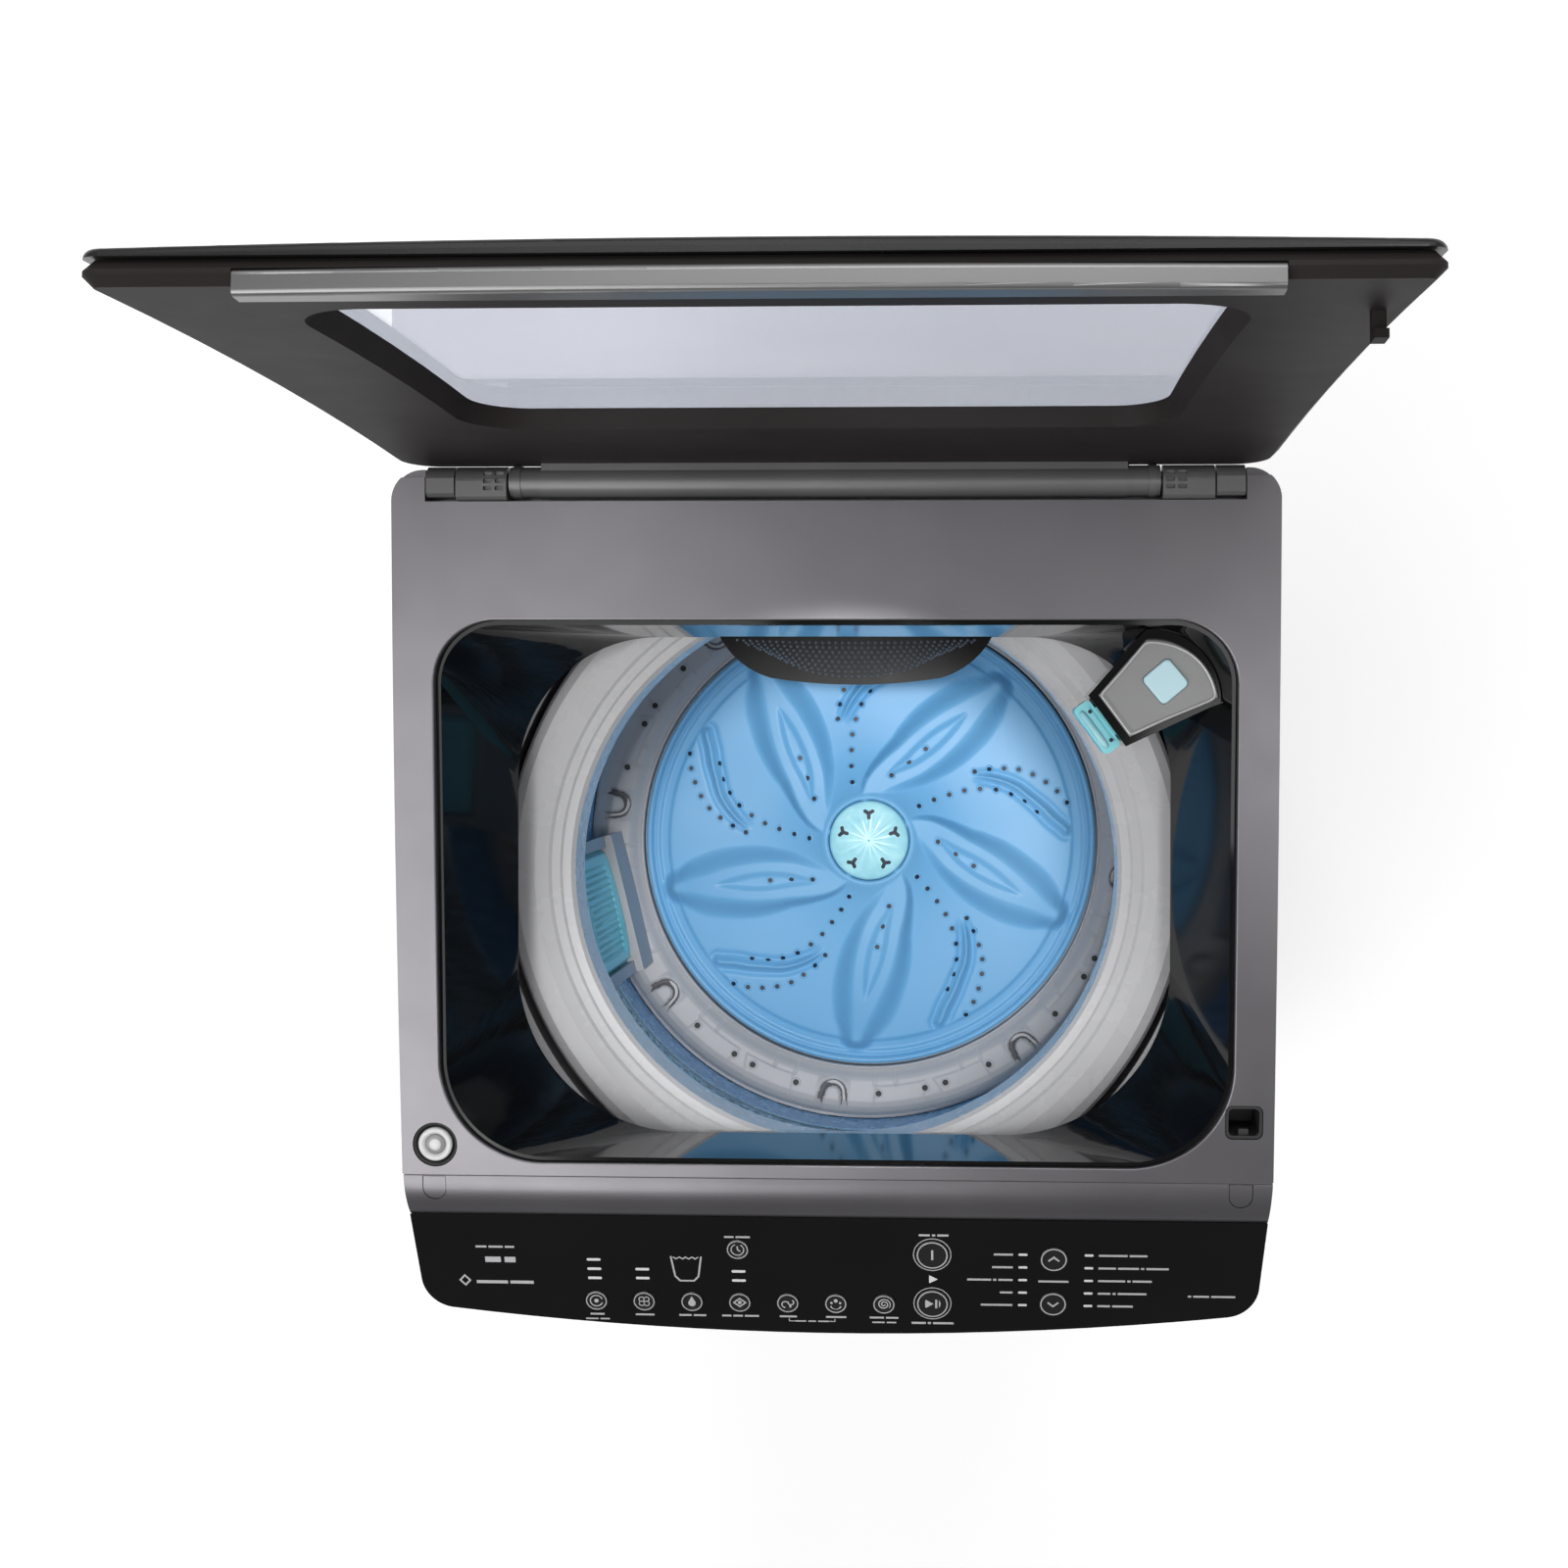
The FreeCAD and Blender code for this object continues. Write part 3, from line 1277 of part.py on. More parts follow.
def drive_pulley():
    """Large V-pulley on the wash shaft."""
    z = PULLEY_Z
    r = DRIVE_PULLEY_R
    return revolve(
        [
            (6.0, z + 10), (16, z + 10), (16, z + 5), (r - 10, z + 5), (r - 10, z + 7),
            (r + 2, z + 7), (r - 4, z + 2), (r - 4, z - 2), (r + 2, z - 7), (r - 10, z - 7),
            (r - 10, z + 1), (16, z + 1), (16, z - 4), (6.0, z - 4),
        ]
    )


def motor():
    """Induction motor hung beside the gearbox: end caps, stack and terminal box."""
    z1 = TUB_BOTTOM - 9.4
    caps = [rod(50, MOTOR_X, MOTOR_Y, z1 - 22, z1 - 4), rod(50, MOTOR_X, MOTOR_Y, z1 - 122, z1 - 104)]
    stack = rod(55, MOTOR_X, MOTOR_Y, z1 - 104, z1 - 22)
    posts = [
        rod(4, MOTOR_X + 42 * math.cos(a), MOTOR_Y + 42 * math.sin(a), z1 - 5, z1)
        for a in (0.6, 2.2, 3.7, 5.3)
    ]
    box_ = rounded_block(MOTOR_X + 46, MOTOR_X + 72, MOTOR_Y - 16, MOTOR_Y + 16, z1 - 90, z1 - 40, 4)
    body = fuse(caps + [stack, box_] + posts)
    return body.cut(rod(6.5, MOTOR_X, MOTOR_Y, z1 - 140, z1 + 5))


def motor_pulley():
    """Rotor shaft and small V-pulley."""
    z, r = PULLEY_Z, MOTOR_PULLEY_R
    wheel = revolve(
        [
            (0.01, z + 9), (r + 2, z + 9), (r + 2, z + 7), (r - 4, z + 2), (r - 4, z - 2),
            (r + 2, z - 7), (r + 2, z - 9), (0.01, z - 9),
        ]
    )
    wheel.translate(Vector(MOTOR_X, MOTOR_Y, 0))
    return fuse([wheel, rod(6, MOTOR_X, MOTOR_Y, z - 12, TUB_BOTTOM - 20)])


def belt():
    """V-belt round both pulleys, lying in their grooves."""
    span = math.hypot(MOTOR_X, MOTOR_Y)

    def track(extra, z0, z1):
        r1, r2 = DRIVE_PULLEY_R + extra, MOTOR_PULLEY_R + extra
        a = math.acos((r1 - r2) / span)
        pts = {}
        for tag, r, cx in (("b", r1, 0), ("s", r2, span)):
            pts[tag + "u"] = Vector(cx + r * math.cos(a), r * math.sin(a), z0)
            pts[tag + "d"] = Vector(cx + r * math.cos(a), -r * math.sin(a), z0)
        wire = Part.Wire(
            [
                Part.Arc(pts["bu"], Vector(-r1, 0, z0), pts["bd"]).toShape(),
                Part.LineSegment(pts["bd"], pts["sd"]).toShape(),
                Part.Arc(pts["sd"], Vector(span + r2, 0, z0), pts["su"]).toShape(),
                Part.LineSegment(pts["su"], pts["bu"]).toShape(),
            ]
        )
        return Part.Face(wire).extrude(Vector(0, 0, z1 - z0))

    z = PULLEY_Z
    body = track(1.6, z - 1.8, z + 1.8).cut(track(-3.4, z - 3, z + 3))
    turn = math.degrees(math.atan2(MOTOR_Y, MOTOR_X))
    return body.transformed(Placement(Vector(0, 0, 0), Rotation(Z, turn)).toMatrix())


def drain_valve():
    """Drain valve body with its spout and the pull motor that opens it."""
    z = TUB_BOTTOM - 6
    body = rod(20, 150, 130, z - 46, z - 5)
    neck = ring(10, 13.4, 150, 130, z - 6, z + 6)
    spout = Part.makeCylinder(13, 44, Vector(150, 130, z - 30), Y)
    pull = Part.makeCylinder(5, 60, Vector(150, 130, z - 30), -X)
    pull_motor = rounded_block(46, 96, 112, 148, z - 50, z - 8, 4)
    return fuse([body, neck, spout, pull, pull_motor])


# ---- build ------------------------------------------------------------------------------
def build():
    parts["cabinet_shell"] = cabinet_shell()
    parts["rear_panel"] = rear_panel()
    parts["base_frame"] = base_frame()
    feet = [foot(x, y) for x, y in foot_places()]
    parts["foot_front_left"], parts["foot_front_right"] = feet[0], feet[1]
    parts["rear_feet"] = group(feet[2:])
    cover = top_cover()
    for well in button_wells():
        cover = cover.cut(well)
    parts["top_cover"] = cover
    parts["opening_liner"] = opening_liner()
    parts["control_fascia"] = control_fascia()
    parts["indicator_lenses"] = group(lens_shapes(0))
    parts["control_board"] = control_board()
    for name, (x, slope, r) in BUTTONS.items():
        parts[name] = button(x, slope, r)
    parts["screw_covers"] = group([screw_cover_shape(s, 0) for s in (-1, 1)])
    parts["level_indicator"] = group([level_indicator(), level_lens()])
    parts["lid_lock_housing"] = lid_lock_housing()
    parts["lid_lock_bolt"] = lid_lock_bolt()
    parts["hinge_blocks"] = hinge_blocks()
    parts["lid_inner_frame"] = lid_inner_frame()
    parts["lid_outer_frame"] = lid_outer_frame()
    parts["lid_glass"] = lid_glass()
    parts["lid_handle_bar"] = lid_handle_bar()
    parts["lid_hinge_barrel"] = lid_hinge_barrel()
    parts["dispenser_housing"] = dispenser_housing()
    parts["dispenser_cover"] = dispenser_cover()
    parts["softener_cap"] = softener_cap()
    parts["dispenser_drawer"] = dispenser_drawer()
    parts["water_spreader"] = water_spreader()
    parts["water_inlet_valve"] = water_inlet_valve()
    parts["rear_glands"] = rear_glands()
    parts["outer_tub"] = outer_tub()
    parts["tub_cover"] = tub_cover()
    parts["suspension_rods"] = suspension_rods()
    parts["suspension_springs"] = suspension_springs()
    parts["drive_mount_plate"] = drive_mount_plate()
    parts["gearbox_housing"] = gearbox_housing()
    parts["bearings"] = bearings()
    parts["motor"] = motor()
    parts["motor_pulley"] = motor_pulley()
    parts["belt"] = belt()
    parts["drain_valve"] = drain_valve()
    parts["basket_wall"] = basket_wall()
    parts["basket_base"] = basket_base()
    parts["balance_ring"] = balance_ring()
    for name, angle in FILTER_ANGLES.items():
        parts[name] = lint_filter(angle)
    parts["spin_shaft"] = spin_shaft()
    parts["pulsator"] = pulsator()
    parts["pulsator_cap"] = pulsator_cap()
    parts["wash_shaft"] = fuse([wash_shaft(), drive_pulley()])


def export():
    os.makedirs("parts", exist_ok=True)
    for name, shape in parts.items():
        shape.translate(Vector(0, AXIS_Y, 0))
        box_ = shape.BoundBox
        print(
            f"{name:22s} solids {len(shape.Solids)} valid {shape.isValid()} "
            f"vol {shape.Volume / 1000:9.1f} cm3  y {box_.YMin:7.1f} {box_.YMax:7.1f}"
            f"  z {box_.ZMin:6.1f} {box_.ZMax:6.1f}"
        )
        shape.exportStep(f"parts/{name}.step")


build()
export()
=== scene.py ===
import json
import math

import bpy
import numpy as np
from mathutils import Matrix, Vector


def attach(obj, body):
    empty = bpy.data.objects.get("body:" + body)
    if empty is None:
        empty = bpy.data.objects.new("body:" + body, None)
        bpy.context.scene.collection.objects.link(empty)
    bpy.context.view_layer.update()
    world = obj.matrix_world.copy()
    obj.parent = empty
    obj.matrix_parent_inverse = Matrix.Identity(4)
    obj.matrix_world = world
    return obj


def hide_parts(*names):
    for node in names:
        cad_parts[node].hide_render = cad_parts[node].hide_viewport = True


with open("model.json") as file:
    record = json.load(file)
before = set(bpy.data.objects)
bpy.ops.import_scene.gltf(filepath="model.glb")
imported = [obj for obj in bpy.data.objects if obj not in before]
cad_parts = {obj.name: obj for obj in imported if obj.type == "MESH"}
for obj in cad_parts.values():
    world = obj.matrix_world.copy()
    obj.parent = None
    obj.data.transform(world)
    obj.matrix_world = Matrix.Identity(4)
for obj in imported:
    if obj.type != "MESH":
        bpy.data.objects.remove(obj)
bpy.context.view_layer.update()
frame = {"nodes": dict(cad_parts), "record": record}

MM = 0.001
NODES = frame["nodes"]
AXIS_Y = 0.3  # the drum axis in the machine's frame, mm
DECK_Z = 915.0  # rear edge of the deck
DECK_REAR_Y = 253.7  # where the deck's slope begins
DECK_RUN = 436.1  # how far forward the slope goes
DECK_FALL = 21.8  # how much lower its front edge is
DECK_BOW = 4.15  # how far its middle stands over the straight line
PLATE_Z = 455.0  # the height that the wash plate's profile is measured from
PLATE_R = 187.5  # rim of the wash plate
VANES = 5  # blades of the wash plate, and groups of holes
VANE_STEP = 72  # degrees from one blade to the next
CAP_R = 32.6
CAP_Z = PLATE_Z + 10.4  # foot of the round cap
WALL_R = 226.0  # inside of the drum
WALL_LOW, WALL_HIGH = 469.0, 753.0
BAND = (548.0, 666.0)  # the pierced band of the drum wall
FILTERS = {"lint_filter_left": -166.2, "lint_filter_right": 13.8}
FILTER_HALF = 46.0  # half the width of a lint cassette
ARCHES = 8  # arch-shaped grooves in the drum's floor ring
ARCH_STEP = 45.0  # degrees from one arch to the next
FIRST_ARCH = 36.9
PANEL_EDGE_Y, PANEL_EDGE_Z = -210.0, DECK_Z - 33.0  # upper edge of the control panel
PANEL_TILT = math.atan2(62.0 - 33.0, 291.0 - 210.0)  # fall over run of its face


# ---- materials --------------------------------------------------------------------------
def link(tree, a, out, b, inp):
    """Joins output out of node a to input inp of node b."""
    tree.links.new(a.outputs[out], b.inputs[inp])


def noise(tree, coords, scale, detail=3.0, stretch=(1.0, 1.0, 1.0)):
    """A noise in the object's own coordinates, in features per metre."""
    mapping = tree.nodes.new("ShaderNodeMapping")
    mapping.inputs["Scale"].default_value = stretch
    link(tree, coords, "Object", mapping, "Vector")
    tex = tree.nodes.new("ShaderNodeTexNoise")
    tex.inputs["Scale"].default_value = scale
    tex.inputs["Detail"].default_value = detail
    link(tree, mapping, "Vector", tex, "Vector")
    return tex


def finish(name, dark, light, rough, metal=0.0, coat=0.0, grain=600.0, mottle=9.0, bump=0.05,
           depth=0.02, stretch=(1.0, 1.0, 1.0), transmission=0.0, ior=1.5, subsurface=0.0,
           emission=0.0, specular=0.5):
    """Moulded, painted or bare surface: mottled colour, uneven gloss and a fine grain."""
    mat = bpy.data.materials.new(name)
    mat.use_nodes = True
    tree = mat.node_tree
    bsdf = tree.nodes["Principled BSDF"]
    coords = tree.nodes.new("ShaderNodeTexCoord")
    wide = noise(tree, coords, mottle, 2.0, stretch)
    ramp = tree.nodes.new("ShaderNodeValToRGB")
    ramp.color_ramp.elements[0].position = 0.3
    ramp.color_ramp.elements[0].color = (*dark, 1)
    ramp.color_ramp.elements[1].position = 0.7
    ramp.color_ramp.elements[1].color = (*light, 1)
    link(tree, wide, "Fac", ramp, "Fac")
    link(tree, ramp, "Color", bsdf, "Base Color")
    gloss = tree.nodes.new("ShaderNodeMapRange")
    gloss.inputs["To Min"].default_value = max(0.0, rough[0])
    gloss.inputs["To Max"].default_value = rough[1]
    patches = noise(tree, coords, mottle * 5.0, 4.0, stretch)
    link(tree, patches, "Fac", gloss, "Value")
    link(tree, gloss, "Result", bsdf, "Roughness")
    fine = noise(tree, coords, grain, 2.0, stretch)
    relief = tree.nodes.new("ShaderNodeBump")
    relief.inputs["Strength"].default_value = bump
    relief.inputs["Distance"].default_value = depth * MM
    link(tree, fine, "Fac", relief, "Height")
    link(tree, relief, "Normal", bsdf, "Normal")
    bsdf.inputs["Metallic"].default_value = metal
    bsdf.inputs["Coat Weight"].default_value = coat
    bsdf.inputs["Coat Roughness"].default_value = 0.06
    bsdf.inputs["Transmission Weight"].default_value = transmission
    bsdf.inputs["IOR"].default_value = ior
    bsdf.inputs["Specular IOR Level"].default_value = specular
    if subsurface:
        bsdf.inputs["Subsurface Weight"].default_value = subsurface
        bsdf.inputs["Subsurface Radius"].default_value = (0.004, 0.006, 0.008)
    if emission:
        bsdf.inputs["Emission Color"].default_value = (*light, 1)
        bsdf.inputs["Emission Strength"].default_value = emission
    return mat


def grey(v, blue=0.0):
    """A neutral colour, with a little blue if asked."""
    return (v, v, v + blue)


MATS = {}


def add_finish(name, *colours_and_gloss, **more):
    MATS[name] = finish(name, *colours_and_gloss, **more)


add_finish("steel_paint", grey(0.018), grey(0.026), (0.32, 0.42), coat=0.3, grain=900, bump=0.12,
           depth=0.05)
add_finish("zinc_steel", grey(0.42, 0.01), grey(0.58, 0.02), (0.3, 0.5), metal=1.0, mottle=60,
           grain=300, bump=0.1)
add_finish("stainless", grey(0.5), grey(0.66, 0.01), (0.2, 0.34), metal=1.0, mottle=14, grain=900,
           bump=0.08, stretch=(1, 1, 0.08))
# painted reflection: blue tint for the drum wall's plain parts, standing for the blue seen
# reflected there
add_finish("wall_painted_blue_reflection", (0.28, 0.58, 0.9), (0.38, 0.68, 0.95), (0.22, 0.32), metal=0.2, mottle=14,
           grain=900, bump=0.06)
add_finish("black_base", grey(0.014), grey(0.022), (0.5, 0.62), grain=1400, bump=0.3, depth=0.1)
add_finish("foot_rubber", grey(0.012), grey(0.02), (0.7, 0.85), grain=900, bump=0.3, depth=0.1)
add_finish("graphite", (0.152, 0.146, 0.156), (0.176, 0.17, 0.18), (0.3, 0.36), metal=0.85,
           grain=2600, bump=0.1, depth=0.03)
add_finish("gloss_black", grey(0.0032), grey(0.0045), (0.04, 0.09), grain=240, bump=0.02,
           specular=0.26)
add_finish("spreader_black", grey(0.004), grey(0.006), (0.3, 0.4), grain=900, bump=0.05,
           specular=0.06)
add_finish("lens", grey(0.62), grey(0.72), (0.2, 0.3), grain=500)
add_finish("key_black", grey(0.005), grey(0.008), (0.12, 0.2), coat=0.4, grain=800)
add_finish("board_green", (0.01, 0.09, 0.03), (0.015, 0.13, 0.05), (0.35, 0.5), grain=500, bump=0.2)
add_finish("level_white", grey(0.6), grey(0.7), (0.18, 0.3), grain=500)
add_finish("lock_black", grey(0.012), grey(0.02), (0.45, 0.6), grain=1200, bump=0.2, depth=0.05)
add_finish("hinge_grey", grey(0.12), grey(0.16), (0.3, 0.42), metal=0.3, grain=1500, bump=0.2,
           depth=0.05)
add_finish("lid_dark", (0.02, 0.0165, 0.0165), (0.027, 0.0235, 0.0235), (0.5, 0.58), grain=1800,
           bump=0.25, depth=0.04, specular=0.09)
add_finish("lid_shell", grey(0.012), grey(0.017), (0.24, 0.32), grain=1400, bump=0.08,
           specular=0.35)
add_finish("pane", (0.78, 0.82, 0.93), (0.82, 0.86, 0.96), (0.01, 0.03), grain=60, bump=0.01,
           transmission=1.0, ior=1.46)
add_finish("bar_silver", grey(0.17), grey(0.21), (0.28, 0.36), metal=0.8, grain=1600, bump=0.12,
           stretch=(0.1, 1, 1))
add_finish("tray_grey", grey(0.26), grey(0.31), (0.28, 0.4), metal=0.3, grain=1600, bump=0.15,
           depth=0.04)
add_finish("pale_aqua", (0.56, 0.8, 0.87), (0.62, 0.86, 0.92), (0.28, 0.4), subsurface=0.15,
           grain=700)
# painted highlight: light silver for the bead along the dispenser cover's bevel
add_finish("rim_painted_highlight", grey(0.5), grey(0.58), (0.25, 0.35), metal=0.3, grain=1600, bump=0.1)
add_finish("aqua", (0.24, 0.72, 0.8), (0.34, 0.8, 0.86), (0.28, 0.4), subsurface=0.15, grain=700)
add_finish("valve_white", grey(0.62), grey(0.7), (0.45, 0.6), grain=900, bump=0.15)
add_finish("gland_black", grey(0.012), grey(0.02), (0.6, 0.75), grain=900, bump=0.3)
add_finish("tub_grey", grey(0.48, 0.01), grey(0.55, 0.012), (0.4, 0.55), grain=700, bump=0.15,
           depth=0.05)
add_finish("ring_white", grey(0.58, 0.012), grey(0.64, 0.016), (0.22, 0.32), grain=900, bump=0.06)
add_finish("base_grey", (0.42, 0.42, 0.435), (0.48, 0.48, 0.495), (0.42, 0.52), grain=900, bump=0.1,
           specular=0.3)
# painted shade: darker grey for the faces deep in the floor ring's arch grooves
add_finish("groove_painted_shade", grey(0.12, 0.006), grey(0.16, 0.008), (0.5, 0.6), grain=900, bump=0.1,
           specular=0.2)
add_finish("pulsator_blue", (0.12, 0.37, 0.65), (0.19, 0.445, 0.71), (0.36, 0.46), mottle=5.0,
           grain=900, bump=0.06, specular=0.3)
add_finish("cast_alu", grey(0.5), grey(0.6), (0.4, 0.55), metal=0.9, mottle=40, grain=400, bump=0.3,
           depth=0.1)
add_finish("motor_dark", grey(0.03), grey(0.045), (0.4, 0.5), metal=0.4, grain=500, bump=0.2)
add_finish("belt_black", grey(0.012), grey(0.018), (0.7, 0.8), grain=600, bump=0.3, depth=0.1)
# painted shade: dark navy for the closed plugs in the wash plate and cap holes, standing for the
# dark inside of each hole; also used for the drawer's finger dots
add_finish("hole_dark", (0.004, 0.012, 0.03), (0.006, 0.018, 0.045), (0.4, 0.6), grain=500)
# painted shade: black for the closed plugs in the drum wall and floor ring holes, standing for the
# dark inside of each hole
add_finish("hole_black", grey(0.004), grey(0.007), (0.5, 0.7), grain=500)
add_finish("mark_white", grey(0.4, 0.01), grey(0.48, 0.01), (0.4, 0.5), grain=900)
add_finish("cap_aqua", (0.32, 0.68, 0.78), (0.46, 0.82, 0.88), (0.26, 0.36), mottle=60, grain=900,
           subsurface=0.2)
add_finish("level_grey", grey(0.22), grey(0.28), (0.2, 0.3), grain=500)
add_finish("spreader_blue", (0.02, 0.03, 0.045), (0.03, 0.045, 0.065), (0.25, 0.35), coat=0.3,
           grain=800)
add_finish("floor_white", grey(0.9), grey(0.93), (0.5, 0.6), mottle=2.0, grain=50, bump=0.01,
           emission=0.42)

for row in frame["record"]["subparts"]:
    node = NODES[row["node"]]
    node.data.materials.clear()
    node.data.materials.append(MATS[row["material_slot"]])
NODES["water_spreader"].data.materials[0] = MATS["spreader_black"]
NODES["softener_cap"].data.materials[0] = MATS["pale_aqua"]


# ---- mesh helpers (millimetres from the drum axis in, metres in the machine's frame out) -
def place(points):
    """Millimetres from the drum axis to metres in the machine's frame."""
    pts = np.asarray(points, float).reshape(-1, 3) * MM
    pts[:, 1] += AXIS_Y * MM
    return pts


def piece(name, points, faces, slot, body, smooth=True):
    """A mesh of one finish that rides on a body."""
    mesh = bpy.data.meshes.new(name)
    mesh.from_pydata(place(points).tolist(), [], faces)
    mesh.validate()
    mesh.materials.append(MATS[slot])
    if smooth:
        mesh.shade_smooth()
    obj = bpy.data.objects.new(name, mesh)
    bpy.context.scene.collection.objects.link(obj)
    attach(obj, body)
    return obj


def grid_faces(rows, cols, wrap):
    """Quads of a grid stored row by row."""
    r, c = np.meshgrid(np.arange(rows - 1), np.arange(cols if wrap else cols - 1), indexing="ij")
    a = r * cols + c
    b = r * cols + (c + 1) % cols
    return np.stack([a, b, b + cols, a + cols], -1).reshape(-1, 4).tolist()


def close_grid(rows, cols):
    """Faces of a wrapped grid whose last row runs back to its first."""
    last = (rows - 1) * cols
    seam = [[last + i, last + (i + 1) % cols, (i + 1) % cols, i] for i in range(cols)]
    return grid_faces(rows, cols, True) + seam


def turned_points(profile, cols, z0=0.0):
    """Rows of places, one full turn for each point of a radial profile."""
    theta = np.linspace(0, 2 * math.pi, cols, endpoint=False)
    rows = [np.stack([r * np.cos(theta), r * np.sin(theta), np.full(cols, z0 + z)], -1)
            for r, z in profile]
    return np.concatenate(rows)


def ramp01(t):
    """A soft step from 0 to 1."""
    t = np.clip(t, 0.0, 1.0)
    return t * t * (3.0 - 2.0 * t)


def soft_profile(points, reach=1.2):
    """A radial profile through the points with its corners eased."""
    step, margin = 0.2, 6
    r = np.array([p[0] for p in points], float)
    z = np.array([p[1] for p in points], float)
    fine = np.arange(r[0] - margin, r[-1] + margin, step)
    flat = np.interp(fine, r, z)
    half = int(reach / step)
    kernel = np.hanning(2 * half + 3)[1:-1]
    padded = np.pad(flat, half, mode="edge")
    eased = np.convolve(padded, kernel / kernel.sum(), mode="valid")
    return fine, eased


def smooth_curve(t, xs, ys):
    """A curve without corners through a few given places."""
    xs, ys = np.array(xs, float), np.array(ys, float)
    slope = np.gradient(ys, xs)
    i = np.clip(np.searchsorted(xs, t) - 1, 0, len(xs) - 2)
    h = xs[i + 1] - xs[i]
    u = np.clip((t - xs[i]) / h, 0.0, 1.0)
    start = (2 * u ** 3 - 3 * u ** 2 + 1) * ys[i] + (u ** 3 - 2 * u ** 2 + u) * h * slope[i]
    end = (3 * u ** 2 - 2 * u ** 3) * ys[i + 1] + (u ** 3 - u ** 2) * h * slope[i + 1]
    return start + end


def nearest(x, y, line):
    """Distance to a smooth line through polar points, and how far out the nearest point is."""
    radii = np.linspace(line[0][0], line[-1][0], 90)
    angles = np.radians(smooth_curve(radii, [p[0] for p in line], [p[1] for p in line]))
    px, py = radii * np.cos(angles), radii * np.sin(angles)
    best = np.full(x.shape, 1e9)
    where = np.zeros(x.shape)
    for i in range(len(radii)):
        d = (x - px[i]) ** 2 + (y - py[i]) ** 2
        closer = d < best
        best = np.where(closer, d, best)
        where = np.where(closer, radii[i], where)
    return np.sqrt(best), where


# ---- wash plate -------------------------------------------------------------------------
HUB = [(33, 8), (33.6, 14), (35.2, 15.4), (38, 14.4)]
BOWL = [(r, 17.8 * math.exp((38 - r) / 24.0) - 3.4) for r in range(42, 164, 4)]
RIM = [(167.4, -3.4), (169.4, -5.4), (175.5, -5.8), (177.4, -4.2), (179.0, -4.0), (181.2, -5.0),
       (182.8, -1.2), (185.4, -0.4), (187.5, -2.6)]
DISH = soft_profile(HUB + BOWL + RIM, 0.8)
VANE_LINE = [(34, 96), (44, 86), (58, 73), (72, 64), (88, 59), (104, 56), (122, 53.6), (140, 52),
             (152, 51.0), (164, 50.3)]
SWOOSH_LINE = [(99, 32.2), (110, 28.2), (120.6, 24), (130, 19.6), (138, 14.6), (146, 10.4),
               (153, 6.7), (160, 4.2), (163.5, 2.9)]


def vane_relief(x, y, low):
    """One tall leaf-shaped blade: steep flanks, lighter plateau and a sunken inner leaf."""
    d, out = nearest(x, y, VANE_LINE)
    full = smooth_curve(out, [33, 46, 60, 80, 100, 120, 140, 155, 164],
                        [4, 13, 20, 27, 31, 31, 28, 22, 16])
    flat = smooth_curve(out, [33, 46, 60, 75, 90, 105, 120, 140, 155, 164],
                        [0, 7, 11, 13.5, 14.5, 14, 12, 7.5, 4, 2.5])
    crest = smooth_curve(out, [33, 40, 60, 90, 120, 150, 164],
                         [14.6, 13.8, 11.6, 10.4, 9.6, 8.6, 7.8])
    rise = np.maximum(crest - low, 0.0)
    shape = 1.0 - ramp01((d - flat) / np.maximum(full - flat, 1.0))
    leaf = np.sin(np.pi * np.clip((out - 53) / (136 - 53), 0, 1)) ** 0.75 * 8.8
    sunk = 2.2 * ramp01((leaf - d) / 6.0) * ramp01((leaf - 0.2) / 2.0)
    return rise * shape - sunk * ramp01((shape - 0.5) / 0.4)


def swoosh_relief(x, y):
    """A curved rib that widens outwards, in a shallow groove of its own."""
    d, out = nearest(x, y, SWOOSH_LINE)
    half = np.interp(out, [99, 115, 150, 163.5], [1.2, 2.6, 4.4, 4.2])
    rib = 4.0 * (1.0 - ramp01(d / half)) * ramp01((out - 98) / 16.0)
    moat = 2.2 * np.exp(-((d - half - 2.4) / 2.0) ** 2) * ramp01((out - 99) / 14.0)
    return rib - moat


def plate_height(x, y):
    """Top of the wash plate in mm over PLATE_Z."""
    r = np.hypot(x, y)
    low = np.interp(r, *DISH)
    h = low.copy()
    swell = np.zeros_like(h)
    for k in range(VANES):
        a = math.radians(VANE_STEP * k)
        u, v = x * math.cos(a) + y * math.sin(a), y * math.cos(a) - x * math.sin(a)
        swell = np.maximum(swell, vane_relief(u, v, low))
        h += swoosh_relief(u, v) * ramp01((170 - r) / 6.0)
    return h + swell


def wash_plate():
    """The wash plate: one sector's height field repeated round, closed underneath."""
    per = 150
    radii = np.concatenate([[33.0, 33.3], np.arange(33.8, 187.0, 0.95), [187.2, PLATE_R]])
    theta = np.radians(np.arange(per) * VANE_STEP / per)
    rr, tt = np.meshgrid(radii, theta, indexing="ij")
    top = plate_height(rr * np.cos(tt), rr * np.sin(tt))
    full = np.radians(np.arange(VANES * per) * VANE_STEP / per)
    x, y = np.outer(radii, np.cos(full)), np.outer(radii, np.sin(full))
    height = PLATE_Z + np.tile(top, (1, VANES))
    points = [np.stack([x, y, height], -1).reshape(-1, 3)]
    under = [(PLATE_R, -10.0), (184.0, -10.6), (150.0, -12.0), (40.0, -13.4), (14.0, -14.0),
             (14.0, 7.0), (33.0, 7.0)]
    for r, z in under:
        ring = np.stack([r * np.cos(full), r * np.sin(full), np.full(full.shape, PLATE_Z + z)], -1)
        points.append(ring)
    faces = close_grid(len(radii) + len(under), len(full))
    obj = piece("wash_plate_disc", np.concatenate(points), faces, "pulsator_blue", "wash_plate")
    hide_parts("pulsator")


